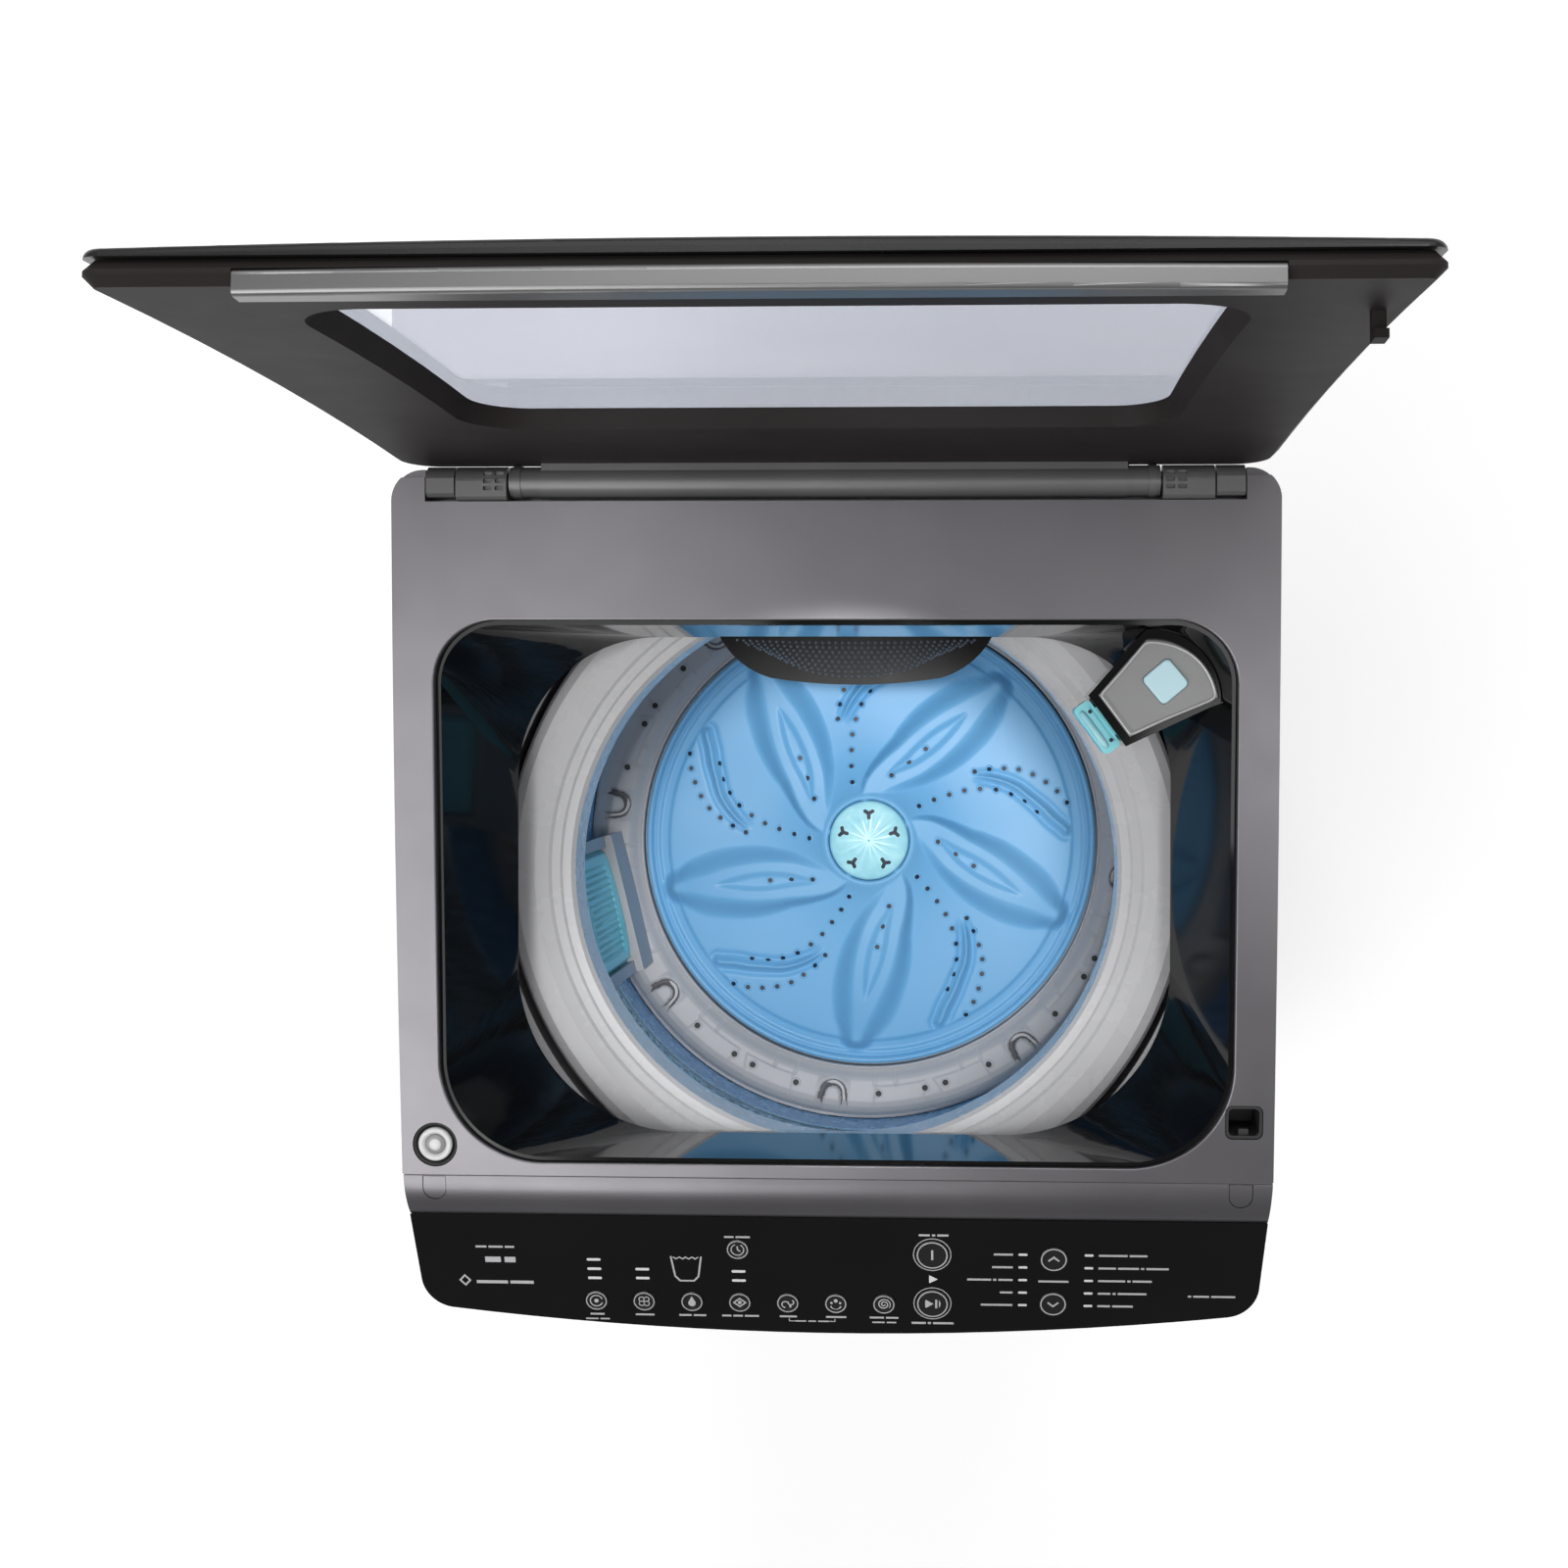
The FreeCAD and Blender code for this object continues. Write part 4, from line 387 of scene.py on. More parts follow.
VANE_HOLES = [(57, 71), (72.5, 63), (89, 58.3)]
INNER_HOLES = [(50, 34.5), (63, 32), (76, 29.6), (88.7, 27.5), (101, 24.8), (113, 21.7),
               (123.6, 17.9), (132.8, 14), (141, 9.5)]
OUTER_HOLES = [(104, 33), (115.4, 30.6), (126.5, 28), (137, 25.3), (146, 21.9), (154, 18.2),
               (161, 14.6), (167, 10.8)]


def stud_rings(spots, profile, sides=20):
    """Small turned shapes standing on given spots, each tilted to its normal."""
    points, faces = [], []
    for centre, normal in spots:
        turn = Vector((0, 0, 1)).rotation_difference(Vector(normal)).to_matrix()
        base = len(points)
        for r, z in profile:
            for i in range(sides):
                a = 2 * math.pi * i / sides
                q = turn @ Vector((r * math.cos(a), r * math.sin(a), z))
                points.append((centre[0] + q.x, centre[1] + q.y, centre[2] + q.z))
        for j in range(len(profile) - 1):
            for i in range(sides):
                k = (i + 1) % sides
                a = base + j * sides
                faces.append([a + i, a + k, a + sides + k, a + sides + i])
        faces.append([base + i for i in reversed(range(sides))])
        top = base + (len(profile) - 1) * sides
        faces.append([top + i for i in range(sides)])
    return points, faces


def plate_spots(polar):
    """Places on the wash plate with their normals, repeated for each blade."""
    spots, near = [], 1.5
    for k in range(VANES):
        for r, deg in polar:
            a = math.radians(deg + VANE_STEP * k)
            x, y = np.array([r * math.cos(a)]), np.array([r * math.sin(a)])
            h = plate_height(x, y)[0]
            gx = (plate_height(x + near, y)[0] - plate_height(x - near, y)[0]) / (2 * near)
            gy = (plate_height(x, y + near)[0] - plate_height(x, y - near)[0]) / (2 * near)
            normal = Vector((-gx, -gy, 1.0)).normalized()
            spots.append(((x[0], y[0], PLATE_Z + h), normal))
    return spots


def wash_plate_holes():
    """Drain holes of the wash plate, each with a raised lip."""
    spots = plate_spots(VANE_HOLES + INNER_HOLES + OUTER_HOLES)
    # each hole is a closed dark plug, its dark navy painted shade for the inside of the hole
    points, faces = stud_rings(spots, [(1.9, -1.2), (1.9, 0.22), (1.6, 0.26)])
    piece("wash_plate_holes", points, faces, "hole_dark", "wash_plate", smooth=False)
    lip = [(3.5, -0.9), (3.5, 0.0), (2.9, 0.34), (2.3, 0.38), (1.9, 0.1), (1.9, -0.9)]
    points, faces = stud_rings(spots, lip, 24)
    obj = piece("wash_plate_hole_lips", points, faces, "pulsator_blue", "wash_plate")


def cap_height(x, y):
    """Top of the round cap: a dome of shallow facets that fan out from the middle."""
    r = np.hypot(x, y)
    dome = 8.0 - r * r / 240.0
    fan = 0.7 * np.abs(np.sin(np.arctan2(y, x) * 7.5)) * ramp01(r / 20.0)
    edge = 1.6 * ramp01((r - 30.6) / 2.0)
    return dome + fan * ramp01((31.0 - r) / 4.0) - edge


def cap():
    """The round cap in the middle of the wash plate, with its groups of small holes."""
    cols, eye = 180, 0.4
    radii = np.concatenate([[eye], np.arange(1.2, 32.4, 0.8), [CAP_R]])
    theta = np.linspace(0, 2 * math.pi, cols, endpoint=False)
    rr, tt = np.meshgrid(radii, theta, indexing="ij")
    x, y = rr * np.cos(tt), rr * np.sin(tt)
    dome = np.stack([x, y, CAP_Z + cap_height(x, y)], -1).reshape(-1, 3)
    points = np.concatenate([dome, turned_points([(CAP_R, 0.0), (eye, 0.0)], cols, CAP_Z)])
    faces = close_grid(len(radii) + 2, cols)
    obj = piece("cap_disc", points, faces, "cap_aqua", "wash_plate")
    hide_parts("pulsator_cap")
    spots = []
    for k in range(VANES):
        a = math.radians(90 + VANE_STEP * k)
        cx, cy = 22.5 * math.cos(a), 22.5 * math.sin(a)
        for turn in (90, 210, 330):
            b = a + math.radians(turn + 90)
            for reach in (0.6, 1.9, 3.5):
                px, py = cx + reach * math.cos(b), cy + reach * math.sin(b)
                h = cap_height(np.array([px]), np.array([py]))[0]
                spots.append(((px, py, CAP_Z + h), Vector((px / 120, py / 120, 1)).normalized()))
    # the holes are closed dark plugs, their dark navy painted shade for the inside of each hole
    points, faces = stud_rings(spots, [(1.6, -0.8), (1.6, 0.25), (1.3, 0.32)], 12)
    piece("cap_holes", points, faces, "hole_dark", "wash_plate", smooth=False)


wash_plate()
wash_plate_holes()
cap()


# ---- drum wall, base ring and lint filters ----------------------------------------------
def drum_wall():
    """Polished drum wall with a rolled bead on each side of its pierced band, its plain parts
    tinted blue as a painted reflection.
    """
    cols, sheet = 360, 1.0
    bead_low, bead_high = BAND[0] - 7.0, BAND[1] + 7.0
    profile = [(WALL_R, WALL_LOW)]
    for z0 in (bead_low, bead_high):
        for i in range(9):
            a = math.pi * i / 8
            profile.append((WALL_R - 1.5 * math.sin(a), z0 - 3.0 * math.cos(a)))
    profile += [(WALL_R, WALL_HIGH), (WALL_R + sheet, WALL_HIGH), (WALL_R + sheet, WALL_LOW)]
    points = turned_points(profile, cols)
    obj = piece("drum_wall", points, close_grid(len(profile), cols), "stainless", "basket")
    # the wall above and below the beaded band takes the blue finish, a painted blue reflection
    obj.data.materials.append(MATS["wall_painted_blue_reflection"])
    for face in obj.data.polygons:
        z = face.center.z / MM
        if not bead_low < z < bead_high and face.area > 100 * MM * MM:
            face.material_index = 1
    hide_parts("basket_wall")
    drum_wall_pattern()


def drum_wall_pattern():
    """Holes and bosses of the pierced band, left out behind the lint filters."""
    bosses, holes = [], []
    rows, count = 12, 132
    for j in range(rows):
        z = BAND[0] + (j + 0.5) * (BAND[1] - BAND[0]) / rows
        for i in range(count):
            a = 2 * math.pi * (i + 0.5 * (j % 2)) / count
            if any(abs(math.remainder(a - math.radians(f), 2 * math.pi)) < 0.27
                   for f in FILTERS.values()):
                continue
            n = Vector((-math.cos(a), -math.sin(a), 0))
            at = WALL_R - 0.1
            spot = ((at * math.cos(a), at * math.sin(a), z), n)
            (holes if (i + j // 2) % 2 else bosses).append(spot)
    points, faces = stud_rings(bosses, [(4.3, -0.2), (3.4, 0.7), (1.9, 1.25), (0.5, 1.4)], 12)
    piece("drum_wall_bosses", points, faces, "stainless", "basket")
    points, faces = stud_rings(holes, [(3.5, -0.2), (2.9, 0.5), (2.1, 0.5), (1.9, 0.12)], 12)
    piece("drum_wall_hole_rims", points, faces, "stainless", "basket")
    # the holes are closed black plugs, their black painted shade for the inside of each hole
    points, faces = stud_rings(holes, [(2.0, -0.1), (2.0, 0.2)], 12)
    piece("drum_wall_holes", points, faces, "hole_black", "basket", smooth=False)


RING_PROFILE = soft_profile(
    [(190.4, 3.2), (191.6, 4.6), (193.4, 6.4), (197.0, 11.4), (199.5, 13.4), (208, 15.6),
     (216, 17.4), (220, 20.4), (223.2, 27.0), (224.4, 36.0)], 0.6)


def arch_distance(r, deg):
    """How far a place on the floor ring is from the middle of the nearest arch's groove,
    in mm, then how far round from the arch's axis, in degrees and in mm."""
    turn = (deg - FIRST_ARCH + ARCH_STEP / 2) % ARCH_STEP - ARCH_STEP / 2
    across = np.radians(turn) * r
    half, top = 9.0, 211.5
    legs = np.abs(np.abs(across) - half - 0.16 * (r - 210))
    crown = np.abs(np.hypot(across, np.maximum(0, top - r)) - half)
    return np.where(r > top, legs, crown), turn, np.abs(across)


def ring_height(r, deg):
    """Top of the drum's floor ring: steps, seams and eight arch-shaped grooves."""
    h = np.interp(r, *RING_PROFILE)
    d, turn, u = arch_distance(r, deg)
    groove = 5.0 * (1 - ramp01(d / 4.4)) * ramp01((r - 197.5) / 3.0)
    swell = 2.0 * ramp01((14.5 - u) / 5.0) * ramp01((r - 198.0) / 4.0)
    seams = np.zeros_like(h)
    for at in (-14.5, -9.5, 9.5, 14.5):
        seams += 1.5 * np.exp(-((np.radians(turn - at) * r) / 0.9) ** 2) * ramp01((205 - r) / 3.0)
    step = 0.9 * ramp01((r - 203.2) / 0.9) * ramp01((u - 34.0) / 2.0) * ramp01((78.0 - u) / 2.0)
    return h - groove + swell - seams * (r > 193) + step


def base_ring():
    """The moulded floor ring with its grooves, drain holes and inner lip, and painted shade deep in
    its arch grooves.
    """
    cols = 1440
    radii = np.concatenate([np.arange(190.4, 221.0, 0.75), [221.5, 222.6, 223.6, 224.4]])
    deg = np.arange(cols) * 360.0 / cols
    rr, dd = np.meshgrid(radii, deg, indexing="ij")
    x, y = rr * np.cos(np.radians(dd)), rr * np.sin(np.radians(dd))
    top = np.stack([x, y, PLATE_Z + ring_height(rr, dd)], -1).reshape(-1, 3)
    back = [(224.2, 30.0), (216.0, 12.0), (198.0, 8.0), (190.8, 1.0)]
    points = np.concatenate([top, turned_points(back, cols, PLATE_Z)])
    faces = close_grid(len(radii) + len(back), cols)
    obj = piece("base_ring", points, faces, "base_grey", "basket")
    # faces deep in the arch grooves take the darker grey, painted shade in the grooves
    obj.data.materials.append(MATS["groove_painted_shade"])
    count = (len(radii) - 1) * cols
    groove_shade_mask = arch_distance(rr, dd)[0] < 2.5
    for face in obj.data.polygons[:count]:
        row, col = divmod(face.index, cols)
        if groove_shade_mask[row, col] and radii[row] < 219.0:
            face.material_index = 1
    base_ring_holes()
    lip = [(190.6, 0.4), (190.9, 3.9), (190.2, 4.9), (189.3, 4.6), (189.1, -3.0), (189.8, -4.0)]
    points = turned_points(lip, 360, PLATE_Z)
    piece("base_ring_lip", points, close_grid(len(lip), 360), "base_grey", "basket")


def base_ring_holes():
    """Drain holes between the arches, left out in front of the lint filters."""
    spots = []
    for k in range(ARCHES):
        for off in (-12.1, -1.5, 3.3, 13.9):
            deg = FIRST_ARCH + ARCH_STEP * (k + 0.5) + off
            if any(abs(math.remainder(deg - f, 360)) < 17 for f in FILTERS.values()):
                continue
            r, a = 209.4, math.radians(deg)
            z = ring_height(np.array([r]), np.array([deg]))[0]
            lean = Vector((-0.22 * math.cos(a), -0.22 * math.sin(a), 1)).normalized()
            spots.append(((r * math.cos(a), r * math.sin(a), PLATE_Z + z), lean))
    lip = [(4.1, -0.8), (4.1, 0.0), (3.4, 0.4), (2.7, 0.4), (2.4, 0.1)]
    points, faces = stud_rings(spots, lip, 24)
    piece("base_ring_hole_lips", points, faces, "base_grey", "basket")
    # the holes are closed black plugs, their black painted shade for the inside of each hole
    points, faces = stud_rings(spots, [(2.45, -0.6), (2.45, 0.3), (2.1, 0.34)], 20)
    piece("base_ring_holes", points, faces, "hole_black", "basket", smooth=False)


def filter_relief(y, z, low, high):
    """Front of a lint cassette: rounded frame, double beads and a field of short ribs."""
    edge = np.minimum(FILTER_HALF - np.abs(y), np.minimum(z - low, high - z))
    h = -3.4 * (1 - ramp01(edge / 4.0))
    window = ramp01((36.5 - np.abs(y)) / 1.6) * ramp01((np.minimum(z - low, high - z) - 19) / 1.6)
    h -= 1.6 * window
    pitch, run = 5.2, 8.0
    column = np.floor((y + 60) / pitch)
    ribs = ramp01((np.cos((y + 60) / pitch * 2 * math.pi) - 0.1) * 1.6)
    dash = ramp01((np.cos((z + (column % 2) * run / 2) / run * 2 * math.pi) + 0.55) * 2.0)
    h += 1.9 * ribs * dash * window
    for at in (7.0, 12.5):
        for zc in (low + at, high - at):
            h += 0.9 * np.exp(-((z - zc) / 1.2) ** 2) * ramp01((40 - np.abs(y)) / 2.0)
    return h


def lint_filter(node, angle):
    """A lint cassette: its front from the relief, its back flat, at its place on the wall."""
    low, high = PLATE_Z + 65.0, PLATE_Z + 205.0
    ys = np.linspace(-FILTER_HALF, FILTER_HALF, 116)
    zs = np.linspace(low, high, 150)
    yy, zz = np.meshgrid(ys, zs, indexing="ij")
    front = 203.2 - filter_relief(yy, zz, low, high) + 0.0011 * yy ** 2
    rows, cols = yy.shape
    back = 217.5
    local = [np.stack([front, yy, zz], -1).reshape(-1, 3),
             np.stack([np.full(yy.shape, back), yy, zz], -1).reshape(-1, 3)]
    sheet = grid_faces(rows, cols, False)
    n = rows * cols
    faces = [f[::-1] for f in sheet] + [[i + n for i in f] for f in sheet]
    rim = list(range(cols)) + [r * cols + cols - 1 for r in range(1, rows)]
    rim += [(rows - 1) * cols + i for i in reversed(range(cols - 1))]
    rim += [r * cols for r in reversed(range(1, rows - 1))]
    for a, b in zip(rim, rim[1:] + rim[:1]):
        faces.append([a, b, b + n, a + n])
    pts = np.concatenate(local)
    a = math.radians(angle)
    turned = np.stack([pts[:, 0] * math.cos(a) - pts[:, 1] * math.sin(a),
                       pts[:, 0] * math.sin(a) + pts[:, 1] * math.cos(a), pts[:, 2]], -1)
    body = "left_lint_filter" if "left" in node else "right_lint_filter"
    obj = piece(node + "_cassette", turned, faces, "aqua", body)
    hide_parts(node)


# ---- control panel marks ----------------------------------------------------------------
def on_panel(x, s, h):
    """A place on the sloping panel: x across, s down the slope, h above its face."""
    y = PANEL_EDGE_Y - s * math.cos(PANEL_TILT) - h * math.sin(PANEL_TILT)
    z = PANEL_EDGE_Z - s * math.sin(PANEL_TILT) + h * math.cos(PANEL_TILT)
    return (x, y, z)


class Marks:
    """Thin raised marks collected into one piece."""

    def __init__(self, low, high):
        self.low, self.high = low, high
        self.points, self.faces = [], []

    def add(self, top, faces):
        """A flat shape, given a thickness and sides along its outer edges."""
        n, base = len(top), len(self.points)
        self.points += [on_panel(x, s, self.high) for x, s in top]
        self.points += [on_panel(x, s, self.low) for x, s in top]
        for f in faces:
            self.faces.append([base + i for i in f])
            self.faces.append([base + n + i for i in reversed(f)])
        edges = {}
        for f in faces:
            for a, b in zip(f, f[1:] + f[:1]):
                edges[(a, b)] = edges.pop((b, a), None) is None
        for (a, b), outer in edges.items():
            if outer:
                self.faces.append([base + a, base + n + a, base + n + b, base + b])

    def fill(self, outline):
        """A filled outline."""
        self.add(outline, [list(range(len(outline)))])

    def stroke(self, line, width, closed=False):
        """A line of even width with mitred corners."""
        pts = np.array(line, float)
        ahead = np.roll(pts, -1, 0) - pts
        behind = pts - np.roll(pts, 1, 0)
        if not closed:
            ahead[-1], behind[0] = behind[-1], ahead[0]
        ahead /= np.linalg.norm(ahead, axis=1)[:, None]
        behind /= np.linalg.norm(behind, axis=1)[:, None]
        mid = ahead + behind
        mid /= np.linalg.norm(mid, axis=1)[:, None]
        normal = np.stack([-mid[:, 1], mid[:, 0]], -1)
        reach = width / 2 / np.maximum(0.5, (mid * ahead).sum(1))
        left, right = pts + normal * reach[:, None], pts - normal * reach[:, None]
        n = len(pts)
        faces = []
        for i in range(n if closed else n - 1):
            k = (i + 1) % n
            faces.append([i, k, n + k, n + i])
        self.add([tuple(p) for p in np.concatenate([left, right])], faces)

    def arc(self, x, s, r, width, start=0, end=360, n=40):
        """Part of a ring, angles in degrees."""
        closed = end - start >= 360
        angles = np.radians(np.linspace(start, end, n, endpoint=not closed))
        line = [(x + r * math.cos(a), s + r * math.sin(a)) for a in angles]
        self.stroke(line, width, closed)

    def dot(self, x, s, r):
        """A filled circle."""
        sides = 20
        turns = [2 * math.pi * i / sides for i in range(sides)]
        self.fill([(x + r * math.cos(a), s + r * math.sin(a)) for a in turns])

    def dashes(self, x, s, widths, height=1.1, gap=1.3, side=0):
        """A row of plain dashes, standing for a line of small print: centred on x, or
        ending at x (side -1), or starting there (side 1)."""
        total = sum(widths) + gap * (len(widths) - 1)
        x += side * total / 2
        at = x - total / 2
        for w in widths:
            self.stroke([(at, s), (at + w, s)], height)
            at += w + gap

    def done(self, name, body):
        """Makes the piece from all marks added so far."""
        piece(name, self.points, self.faces, "mark_white", body, smooth=False)


OPTION_X = [-154.0 + 30.6 * i for i in range(7)]  # centres of the row of option keys
KEYS = {f"option_{i + 1}": (x, 63.2, 7.4) for i, x in enumerate(OPTION_X)}
KEYS.update({"delay": (-62.2, 23.6, 7.4), "power": (60.4, 25.9, 10.4), "start": (60.4, 62.3, 10.4),
             "program_up": (136.6, 28.1, 8.8), "program_down": (136.6, 61.3, 8.8)})


def key_icon(m, key, x, s):
    """A simple generic sign for each key."""
    if key == "option_1":
        m.arc(x, s, 4.0, 0.8, 20, 340)
        m.dot(x, s, 1.4)
    elif key == "option_2":
        for k in range(4):
            a = math.radians(45 + 90 * k)
            m.arc(x + 2.2 * math.cos(a), s + 2.2 * math.sin(a), 1.7, 0.6, n=16)
    elif key == "option_3":
        drop = [(x + 2.4 * math.sin(a), s + 0.9 - 2.4 * math.cos(a)) for a in
                np.radians(np.linspace(50, 310, 18))]
        m.fill(drop + [(x, s - 4.2)])
    elif key == "option_4":
        m.stroke([(x - 3.8, s), (x, s - 3.0), (x + 3.8, s), (x, s + 3.0)], 0.9, True)
        m.dot(x, s, 1.2)
    elif key == "option_5":
        m.arc(x - 1.6, s + 1.0, 2.2, 0.8, 90, 330, 16)
        m.arc(x + 2.0, s - 0.6, 1.8, 0.8, -60, 200, 16)
        m.dot(x + 1.6, s + 2.4, 0.8)
    elif key == "option_6":
        m.dot(x, s - 2.2, 1.3)
        m.arc(x, s + 1.2, 3.2, 0.9, 10, 170, 16)
        m.dot(x - 2.8, s - 0.6, 0.8)
        m.dot(x + 2.8, s - 0.6, 0.8)
    elif key == "option_7":
        line = [(x + (0.6 + 0.28 * t) * math.cos(t), s + (0.6 + 0.28 * t) * math.sin(t))
                for t in np.linspace(0, 4.2 * math.pi, 50)]
        m.stroke(line, 0.7)
    elif key == "delay":
        m.arc(x, s, 4.0, 0.7, -60, 250)
        m.stroke([(x, s - 2.6), (x, s), (x + 1.8, s + 1.2)], 0.8)
    elif key == "power":
        m.arc(x, s, 6.2, 0.9, 0, 360)
        m.stroke([(x, s - 3.6), (x, s + 3.6)], 1.3)
    elif key == "start":
        m.fill([(x - 4.6, s - 3.4), (x + 0.6, s), (x - 4.6, s + 3.4)])
        m.stroke([(x + 2.4, s - 3.2), (x + 2.4, s + 3.2)], 1.3)
        m.stroke([(x + 4.8, s - 3.2), (x + 4.8, s + 3.2)], 1.3)
    else:
        way = -1.0 if key == "program_up" else 1.0
        m.stroke([(x - 3.4, s - 1.2 * way), (x, s + 1.7 * way), (x + 3.4, s - 1.2 * way)], 1.1)


def key_marks():
    """A ring and a sign on each key, moving with it."""
    for key, (x, s, r) in KEYS.items():
        m = Marks(0.2, 0.66)
        key_icon(m, key, x, s)
        m.done(f"key_sign_{key}", "key_" + key)
        m = Marks(0.3, 0.9)
        m.arc(x, s, r - 1.1, 0.75 if r > 8 else 0.6, n=64)
        m.done(f"key_ring_{key}", "key_" + key)


def panel_marks():
    """Plain dashes in place of the panel's print, and its few simple signs."""
    m = Marks(-0.05, 0.12)
    for key, (x, s, r) in KEYS.items():
        if r > 10:
            m.arc(x, s, r + 1.3, 0.55, n=72)
    m.dashes(-216.4, 23.9, [7, 9, 6], 1.4)
    m.dashes(-213.6, 33.4, [10, 7], 4.0, 2.4)
    m.stroke([(-240.6, 49.2), (-237.4, 45.6), (-234.2, 49.2), (-237.4, 52.8)], 1.1, True)
    m.dashes(-211.8, 50.3, [20, 15], 2.2, 1.6)
    m.dashes(-62.2, 14.6, [6, 9], 1.3)
    m.dashes(61.3, 11.6, [7, 2, 7], 1.4)
    m.dashes(60.4, 77.2, [9, 2, 13], 1.5)
    lower = [[9], [12], [8, 8], [6, 6, 9], [11], [13], [9, 8]]
    for x, widths in zip(OPTION_X, lower):
        m.dashes(x, 73.6, widths, 1.3)
    for x in (OPTION_X[0], OPTION_X[6]):
        m.dashes(x, 77.2, [8, 6], 1.0)
    m.dashes(-16.4, 77.0, [7, 5, 7], 0.9)
    m.stroke([(-31, 75.0), (-31, 77.0), (-27.5, 77.0)], 0.5)
    m.stroke([(-1.8, 75.0), (-1.8, 77.0), (-5.3, 77.0)], 0.5)
    for i, widths in enumerate([[12], [13], [15, 2, 9], [8], [20]]):
        m.dashes(111.0, 25.1 + 9.4 * i, widths, 1.4, side=-1)
    for i, widths in enumerate([[18, 11], [11, 13, 2, 14], [17, 2, 12], [8, 2, 18], [8, 13]]):
        m.dashes(164.6, 25.1 + 9.4 * i, widths, 1.4, side=1)
    m.dashes(136.6, 44.7, [19], 1.4)
    m.dashes(236.0, 54.6, [2, 10, 15], 1.3)
    wave = [(-103.4 + 2.0 * i, 30.6 + (0.7 if i % 2 else -0.7)) for i in range(9)]
    m.stroke(wave, 0.8)
    m.stroke([(-104.8, 29.4), (-102.6, 44.2), (-99.6, 47.6), (-90.8, 47.6), (-87.8, 44.2),
              (-85.6, 29.4)], 1.1)
    m.done("panel_print", "cabinet")


# ---- level, spreader, drawer ------------------------------------------------------------
# Corners of the dispenser in plan, its outer side an arc through the crest.
DISPENSER_REAR, DISPENSER_OUTER = (191.6, 151.0), (236.0, 115.2)
DISPENSER_FRONT, DISPENSER_INNER = (181.6, 91.0), (162.3, 116.9)
DISPENSER_CREST = (221.5, 141.5)
COVER_RIM_Z = DECK_Z - 26.3  # top of the dispenser cover's raised edge


def turned_piece(name, centre, normal, profile, slot, body, sides=64):
    """One turned shape that stands on a given place."""
    points, faces = stud_rings([(centre, normal)], profile, sides)
    return piece(name, points, faces, slot, body)


def level():
    """Bull's-eye level: recess cup in black as painted shade, white bezel, grey vial and a bright
    bubble.
    """
    y = -163.6
    t = (DECK_REAR_Y - y) / DECK_RUN
    z = DECK_Z - DECK_FALL * t + 4 * DECK_BOW * t * (1 - t)
    lean = math.radians(4.85)
    centre, n = (-249.0, y, z), Vector((0, -math.sin(lean), math.cos(lean)))
    # the cup's black is painted shade for the dark ring of the recess around the bezel
    cup = turned_piece("level_cup", centre, n, [(13.7, -8.4), (13.7, -0.9), (13.2, -0.5),
                       (12.6, -0.6), (11.4, -2.6), (10.8, -5.6), (0.5, -5.8)], "lock_black",
                       "cabinet")
    turned_piece("level_bezel", centre, n, [(10.6, -5.5), (10.6, -0.6), (10.1, 0.2), (9.2, 0.6),
                 (7.9, 0.4), (7.0, -0.3), (6.5, -1.4), (0.5, -1.5)], "level_white", "cabinet")
    turned_piece("level_vial", centre, n, [(6.5, -1.4), (6.1, -0.5), (5.2, -0.1), (0.5, 0.1)],
                 "level_grey", "cabinet")
    turned_piece("level_bubble", centre, n, [(3.9, -0.3), (3.7, 0.3), (2.6, 0.7), (0.4, 0.85)],
                 "level_white", "cabinet", 32)
    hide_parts("level_indicator")


def spreader_studs():
    """Rows of small bumps that follow the spreader's curved front."""
    spots = []
    for row in range(8):
        depth = 3.4 + row * 3.0
        half = 74.0 - row * 3.6
        count = int(half * 2 / 3.9)
        for i in range(count):
            u = -1.0 + 2.0 * (i + 0.5 * (row % 2)) / (count - 1)
            x = 12.0 + u * half
            y = 153.2 - depth * (1.0 - 0.5 * abs(u) ** 2.4) - 0.4
            spots.append(((x, y, 879.0), Vector((0, 0, 1))))
    points, faces = stud_rings(spots, [(1.2, -0.2), (1.1, 0.35), (0.5, 0.7), (0.1, 0.75)], 8)
    piece("spreader_studs", points, faces, "spreader_blue", "cabinet")


def drawer_front():
    """Light bar and two finger dots on the drawer's pull."""
    (fx, fy), (ix, iy) = DISPENSER_FRONT, DISPENSER_INNER
    mid = Vector(((fx + ix) / 2, (fy + iy) / 2, DECK_Z - 38))
    along = Vector((-0.597, 0.802, 0)).normalized()
    out = Vector((-0.802, -0.597, 0)).normalized()
    points = []
    n, radius, rows = 12, 1.5, 17
    for j in range(rows):
        t = -14.0 + 28.0 * j / (rows - 1)
        thin = radius * math.sqrt(max(0.0, 1 - (abs(t) / 14.6) ** 8))
        c = mid + along * t + out * 14.4 + Vector((0, 0, -1.7))
        for i in range(n):
            a = 2 * math.pi * i / n
            p = c + out * (1.5 * thin * math.cos(a)) + Vector((0, 0, 1)) * (thin * math.sin(a))
            points.append(tuple(p))
    faces = grid_faces(rows, n, True)
    faces += [list(reversed(range(n))), [(rows - 1) * n + i for i in range(n)]]
    piece("drawer_bar", points, faces, "cap_aqua", "drawer")
    spots = []
    for t in (-11.5, 10.5):
        p = mid + along * t + out * 9.6 + Vector((0, 0, -2.0))
        spots.append((tuple(p), Vector((0, 0, 1))))
    points, faces = stud_rings(spots, [(1.3, -0.4), (1.3, 0.15), (1.0, 0.2)], 16)
    piece("drawer_dots", points, faces, "hole_dark", "drawer", smooth=False)


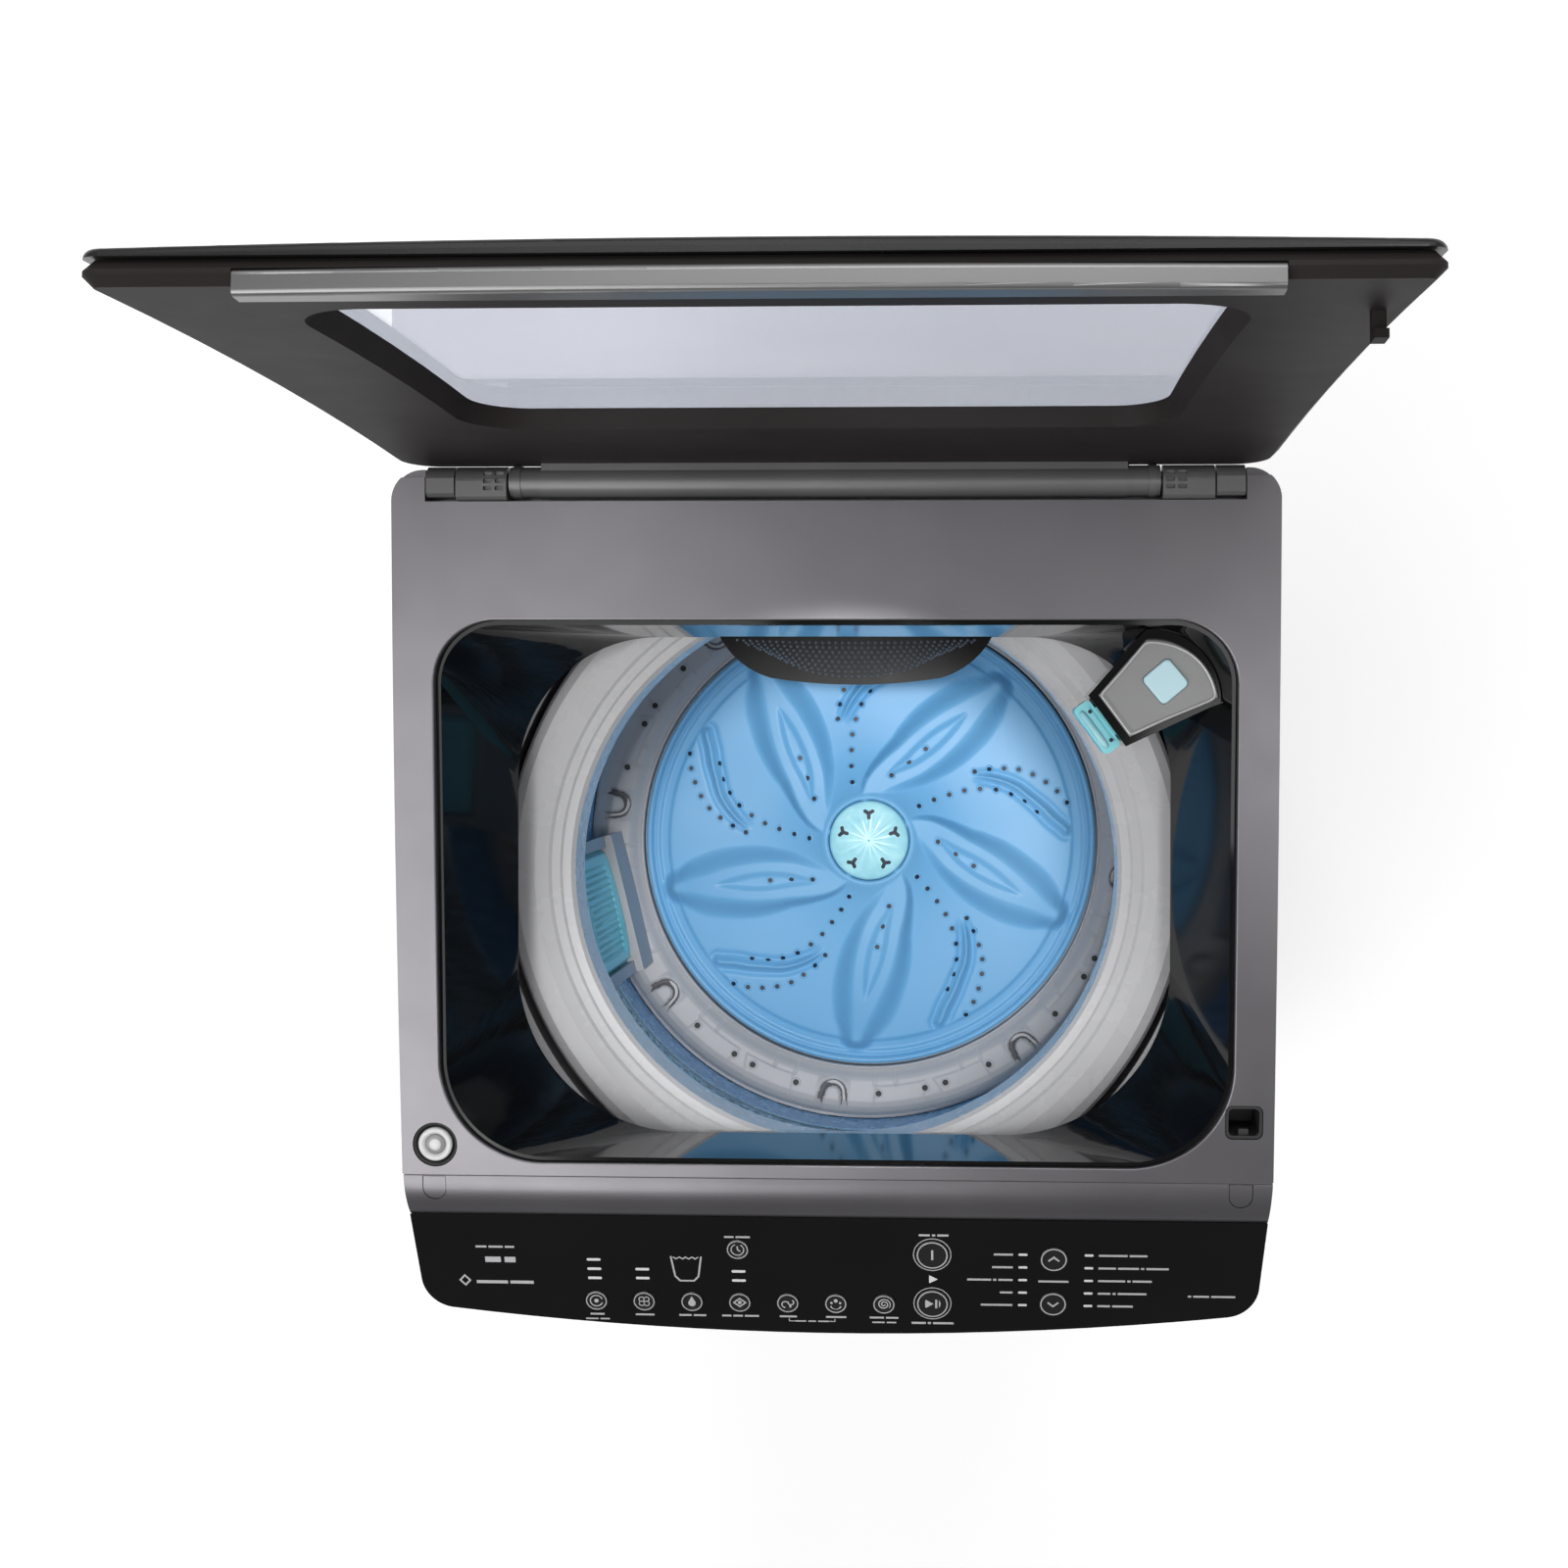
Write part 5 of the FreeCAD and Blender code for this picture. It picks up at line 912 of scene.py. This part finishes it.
def cover_rim():
    """Bright bead on the raised edge of the dispenser's cover, a painted highlight along its bevel.
    """
    corners = (DISPENSER_REAR, DISPENSER_OUTER, DISPENSER_FRONT, DISPENSER_INNER)
    rear, outer, front, inner = (np.array(q) for q in corners)
    crest = np.array(DISPENSER_CREST)
    middle = (rear + outer + front + inner) / 4
    pull = 2 * crest - (rear + outer) / 2
    t = np.linspace(0, 1, 24, endpoint=False)[:, None]
    sides = [outer * (1 - t) ** 2 + 2 * pull * t * (1 - t) + rear * t * t,
             rear * (1 - t) + inner * t, inner * (1 - t) + front * t, front * (1 - t) + outer * t]
    path = np.concatenate(sides)
    away = path - middle
    path = path - 1.3 * away / np.linalg.norm(away, axis=1)[:, None]
    for _ in range(2):
        path = (np.roll(path, 1, axis=0) + 2 * path + np.roll(path, -1, axis=0)) / 4
    run = np.roll(path, -1, axis=0) - np.roll(path, 1, axis=0)
    run = run / np.linalg.norm(run, axis=1)[:, None]
    n, radius, points = 10, 0.85, []
    for (x, y), (dx, dy) in zip(path, run):
        for i in range(n):
            a = 2 * math.pi * i / n
            side = radius * math.cos(a)
            points.append((x + dy * side, y - dx * side, COVER_RIM_Z + radius * math.sin(a)))
    piece("dispenser_cover_rim_highlight", points, close_grid(len(path), n), "rim_painted_highlight", "cabinet")


drum_wall()
base_ring()
for filter_node, filter_angle in FILTERS.items():
    lint_filter(filter_node, filter_angle)
key_marks()
panel_marks()
level()
spreader_studs()
drawer_front()
cover_rim()


# ---- camera, lights and floor -----------------------------------------------------------
AREA_LIGHTS = [  # name, place, aim, size, power
    ("left_panel", (-1.25, -0.45, 2.9), (-0.3, 0, 0.9), (1.2, 2.4), 24),
    ("right_strip", (0.95, -0.25, 3.2), (0.2, 0, 0.9), (0.5, 1.3), 7),
    ("front_panel", (-0.75, -1.25, 2.82), (-0.2, 0, 0.9), (1.1, 0.9), 12),
    ("rear_light", (0.3, 2.2, 2.4), (0, 0.2, 0.8), (3.0, 1.2), 15),
    ("right_panel", (2.3, 0.2, 2.0), (0, 0, 0.8), (1.2, 2.0), 8),
    ("rear_top", (0.1, 1.4, 3.1), (0, 0, 0.85), (1.6, 0.5), 15),
]
FLOOR_HALF = 9.0


def add_object(name, data):
    """Links a new object of the studio into the scene."""
    obj = bpy.data.objects.new(name, data)
    bpy.context.scene.collection.objects.link(obj)
    return obj


def aim_lamp(obj, at, aim):
    obj.location = at
    obj.rotation_euler = (Vector(aim) - Vector(at)).to_track_quat("-Z", "Y").to_euler()


def area_light(name, at, aim, size, power):
    """A soft rectangular panel."""
    data = bpy.data.lights.new(name, "AREA")
    data.shape = "RECTANGLE"
    data.size, data.size_y = size
    data.energy = power
    aim_lamp(add_object(name, data), at, aim)


def drum_spot(at, aim, radius, power):
    """A snooted lamp whose pool of light just fills the opening."""
    data = bpy.data.lights.new("drum_spot", "SPOT")
    reach = (Vector(aim) - Vector(at)).length
    data.energy = power
    data.spot_size, data.spot_blend = 2 * math.atan(radius / reach), 0.3
    data.shadow_soft_size = 0.03
    aim_lamp(add_object("drum_spot", data), at, aim)


def add_camera():
    """The camera over the open machine, looking almost straight down."""
    camera = bpy.data.cameras.new("camera")
    camera.lens, camera.sensor_width = 46.51, 36.0
    camera.shift_x, camera.shift_y = -0.0666, -0.0261
    camera.clip_start = 0.05
    obj = add_object("camera", camera)
    turn = Matrix.Rotation(math.radians(-0.88), 3, "X")
    turn = turn @ Matrix.Rotation(math.radians(2.32), 3, "Y")
    turn = turn @ Matrix.Rotation(math.radians(0.13), 3, "Z")
    obj.rotation_euler = turn.to_euler()
    obj.location = (0.0837, 0.10652, 2.13996)
    bpy.context.scene.camera = obj


def studio():
    """Lamps, pale surroundings and a plain white floor."""
    for lamp in AREA_LIGHTS:
        area_light(*lamp)
    drum_spot((0.05, 0.11, 2.4), (0.0, -0.006, 0.92), 0.161, 105)

    world = bpy.data.worlds.new("studio")
    world.use_nodes = True
    world.node_tree.nodes["Background"].inputs["Color"].default_value = (1, 1, 1, 1)
    world.node_tree.nodes["Background"].inputs["Strength"].default_value = 0.25
    bpy.context.scene.world = world

    side = FLOOR_HALF
    pts = [(-side, -side, 0), (side, -side, 0), (side, side, 0), (-side, side, 0)]
    mesh = bpy.data.meshes.new("floor")
    mesh.from_pydata(pts, [], [[0, 1, 2, 3]])
    mesh.materials.append(MATS["floor_white"])
    add_object("floor", mesh)
    bpy.context.scene.view_settings.view_transform = "Standard"


add_camera()
studio()
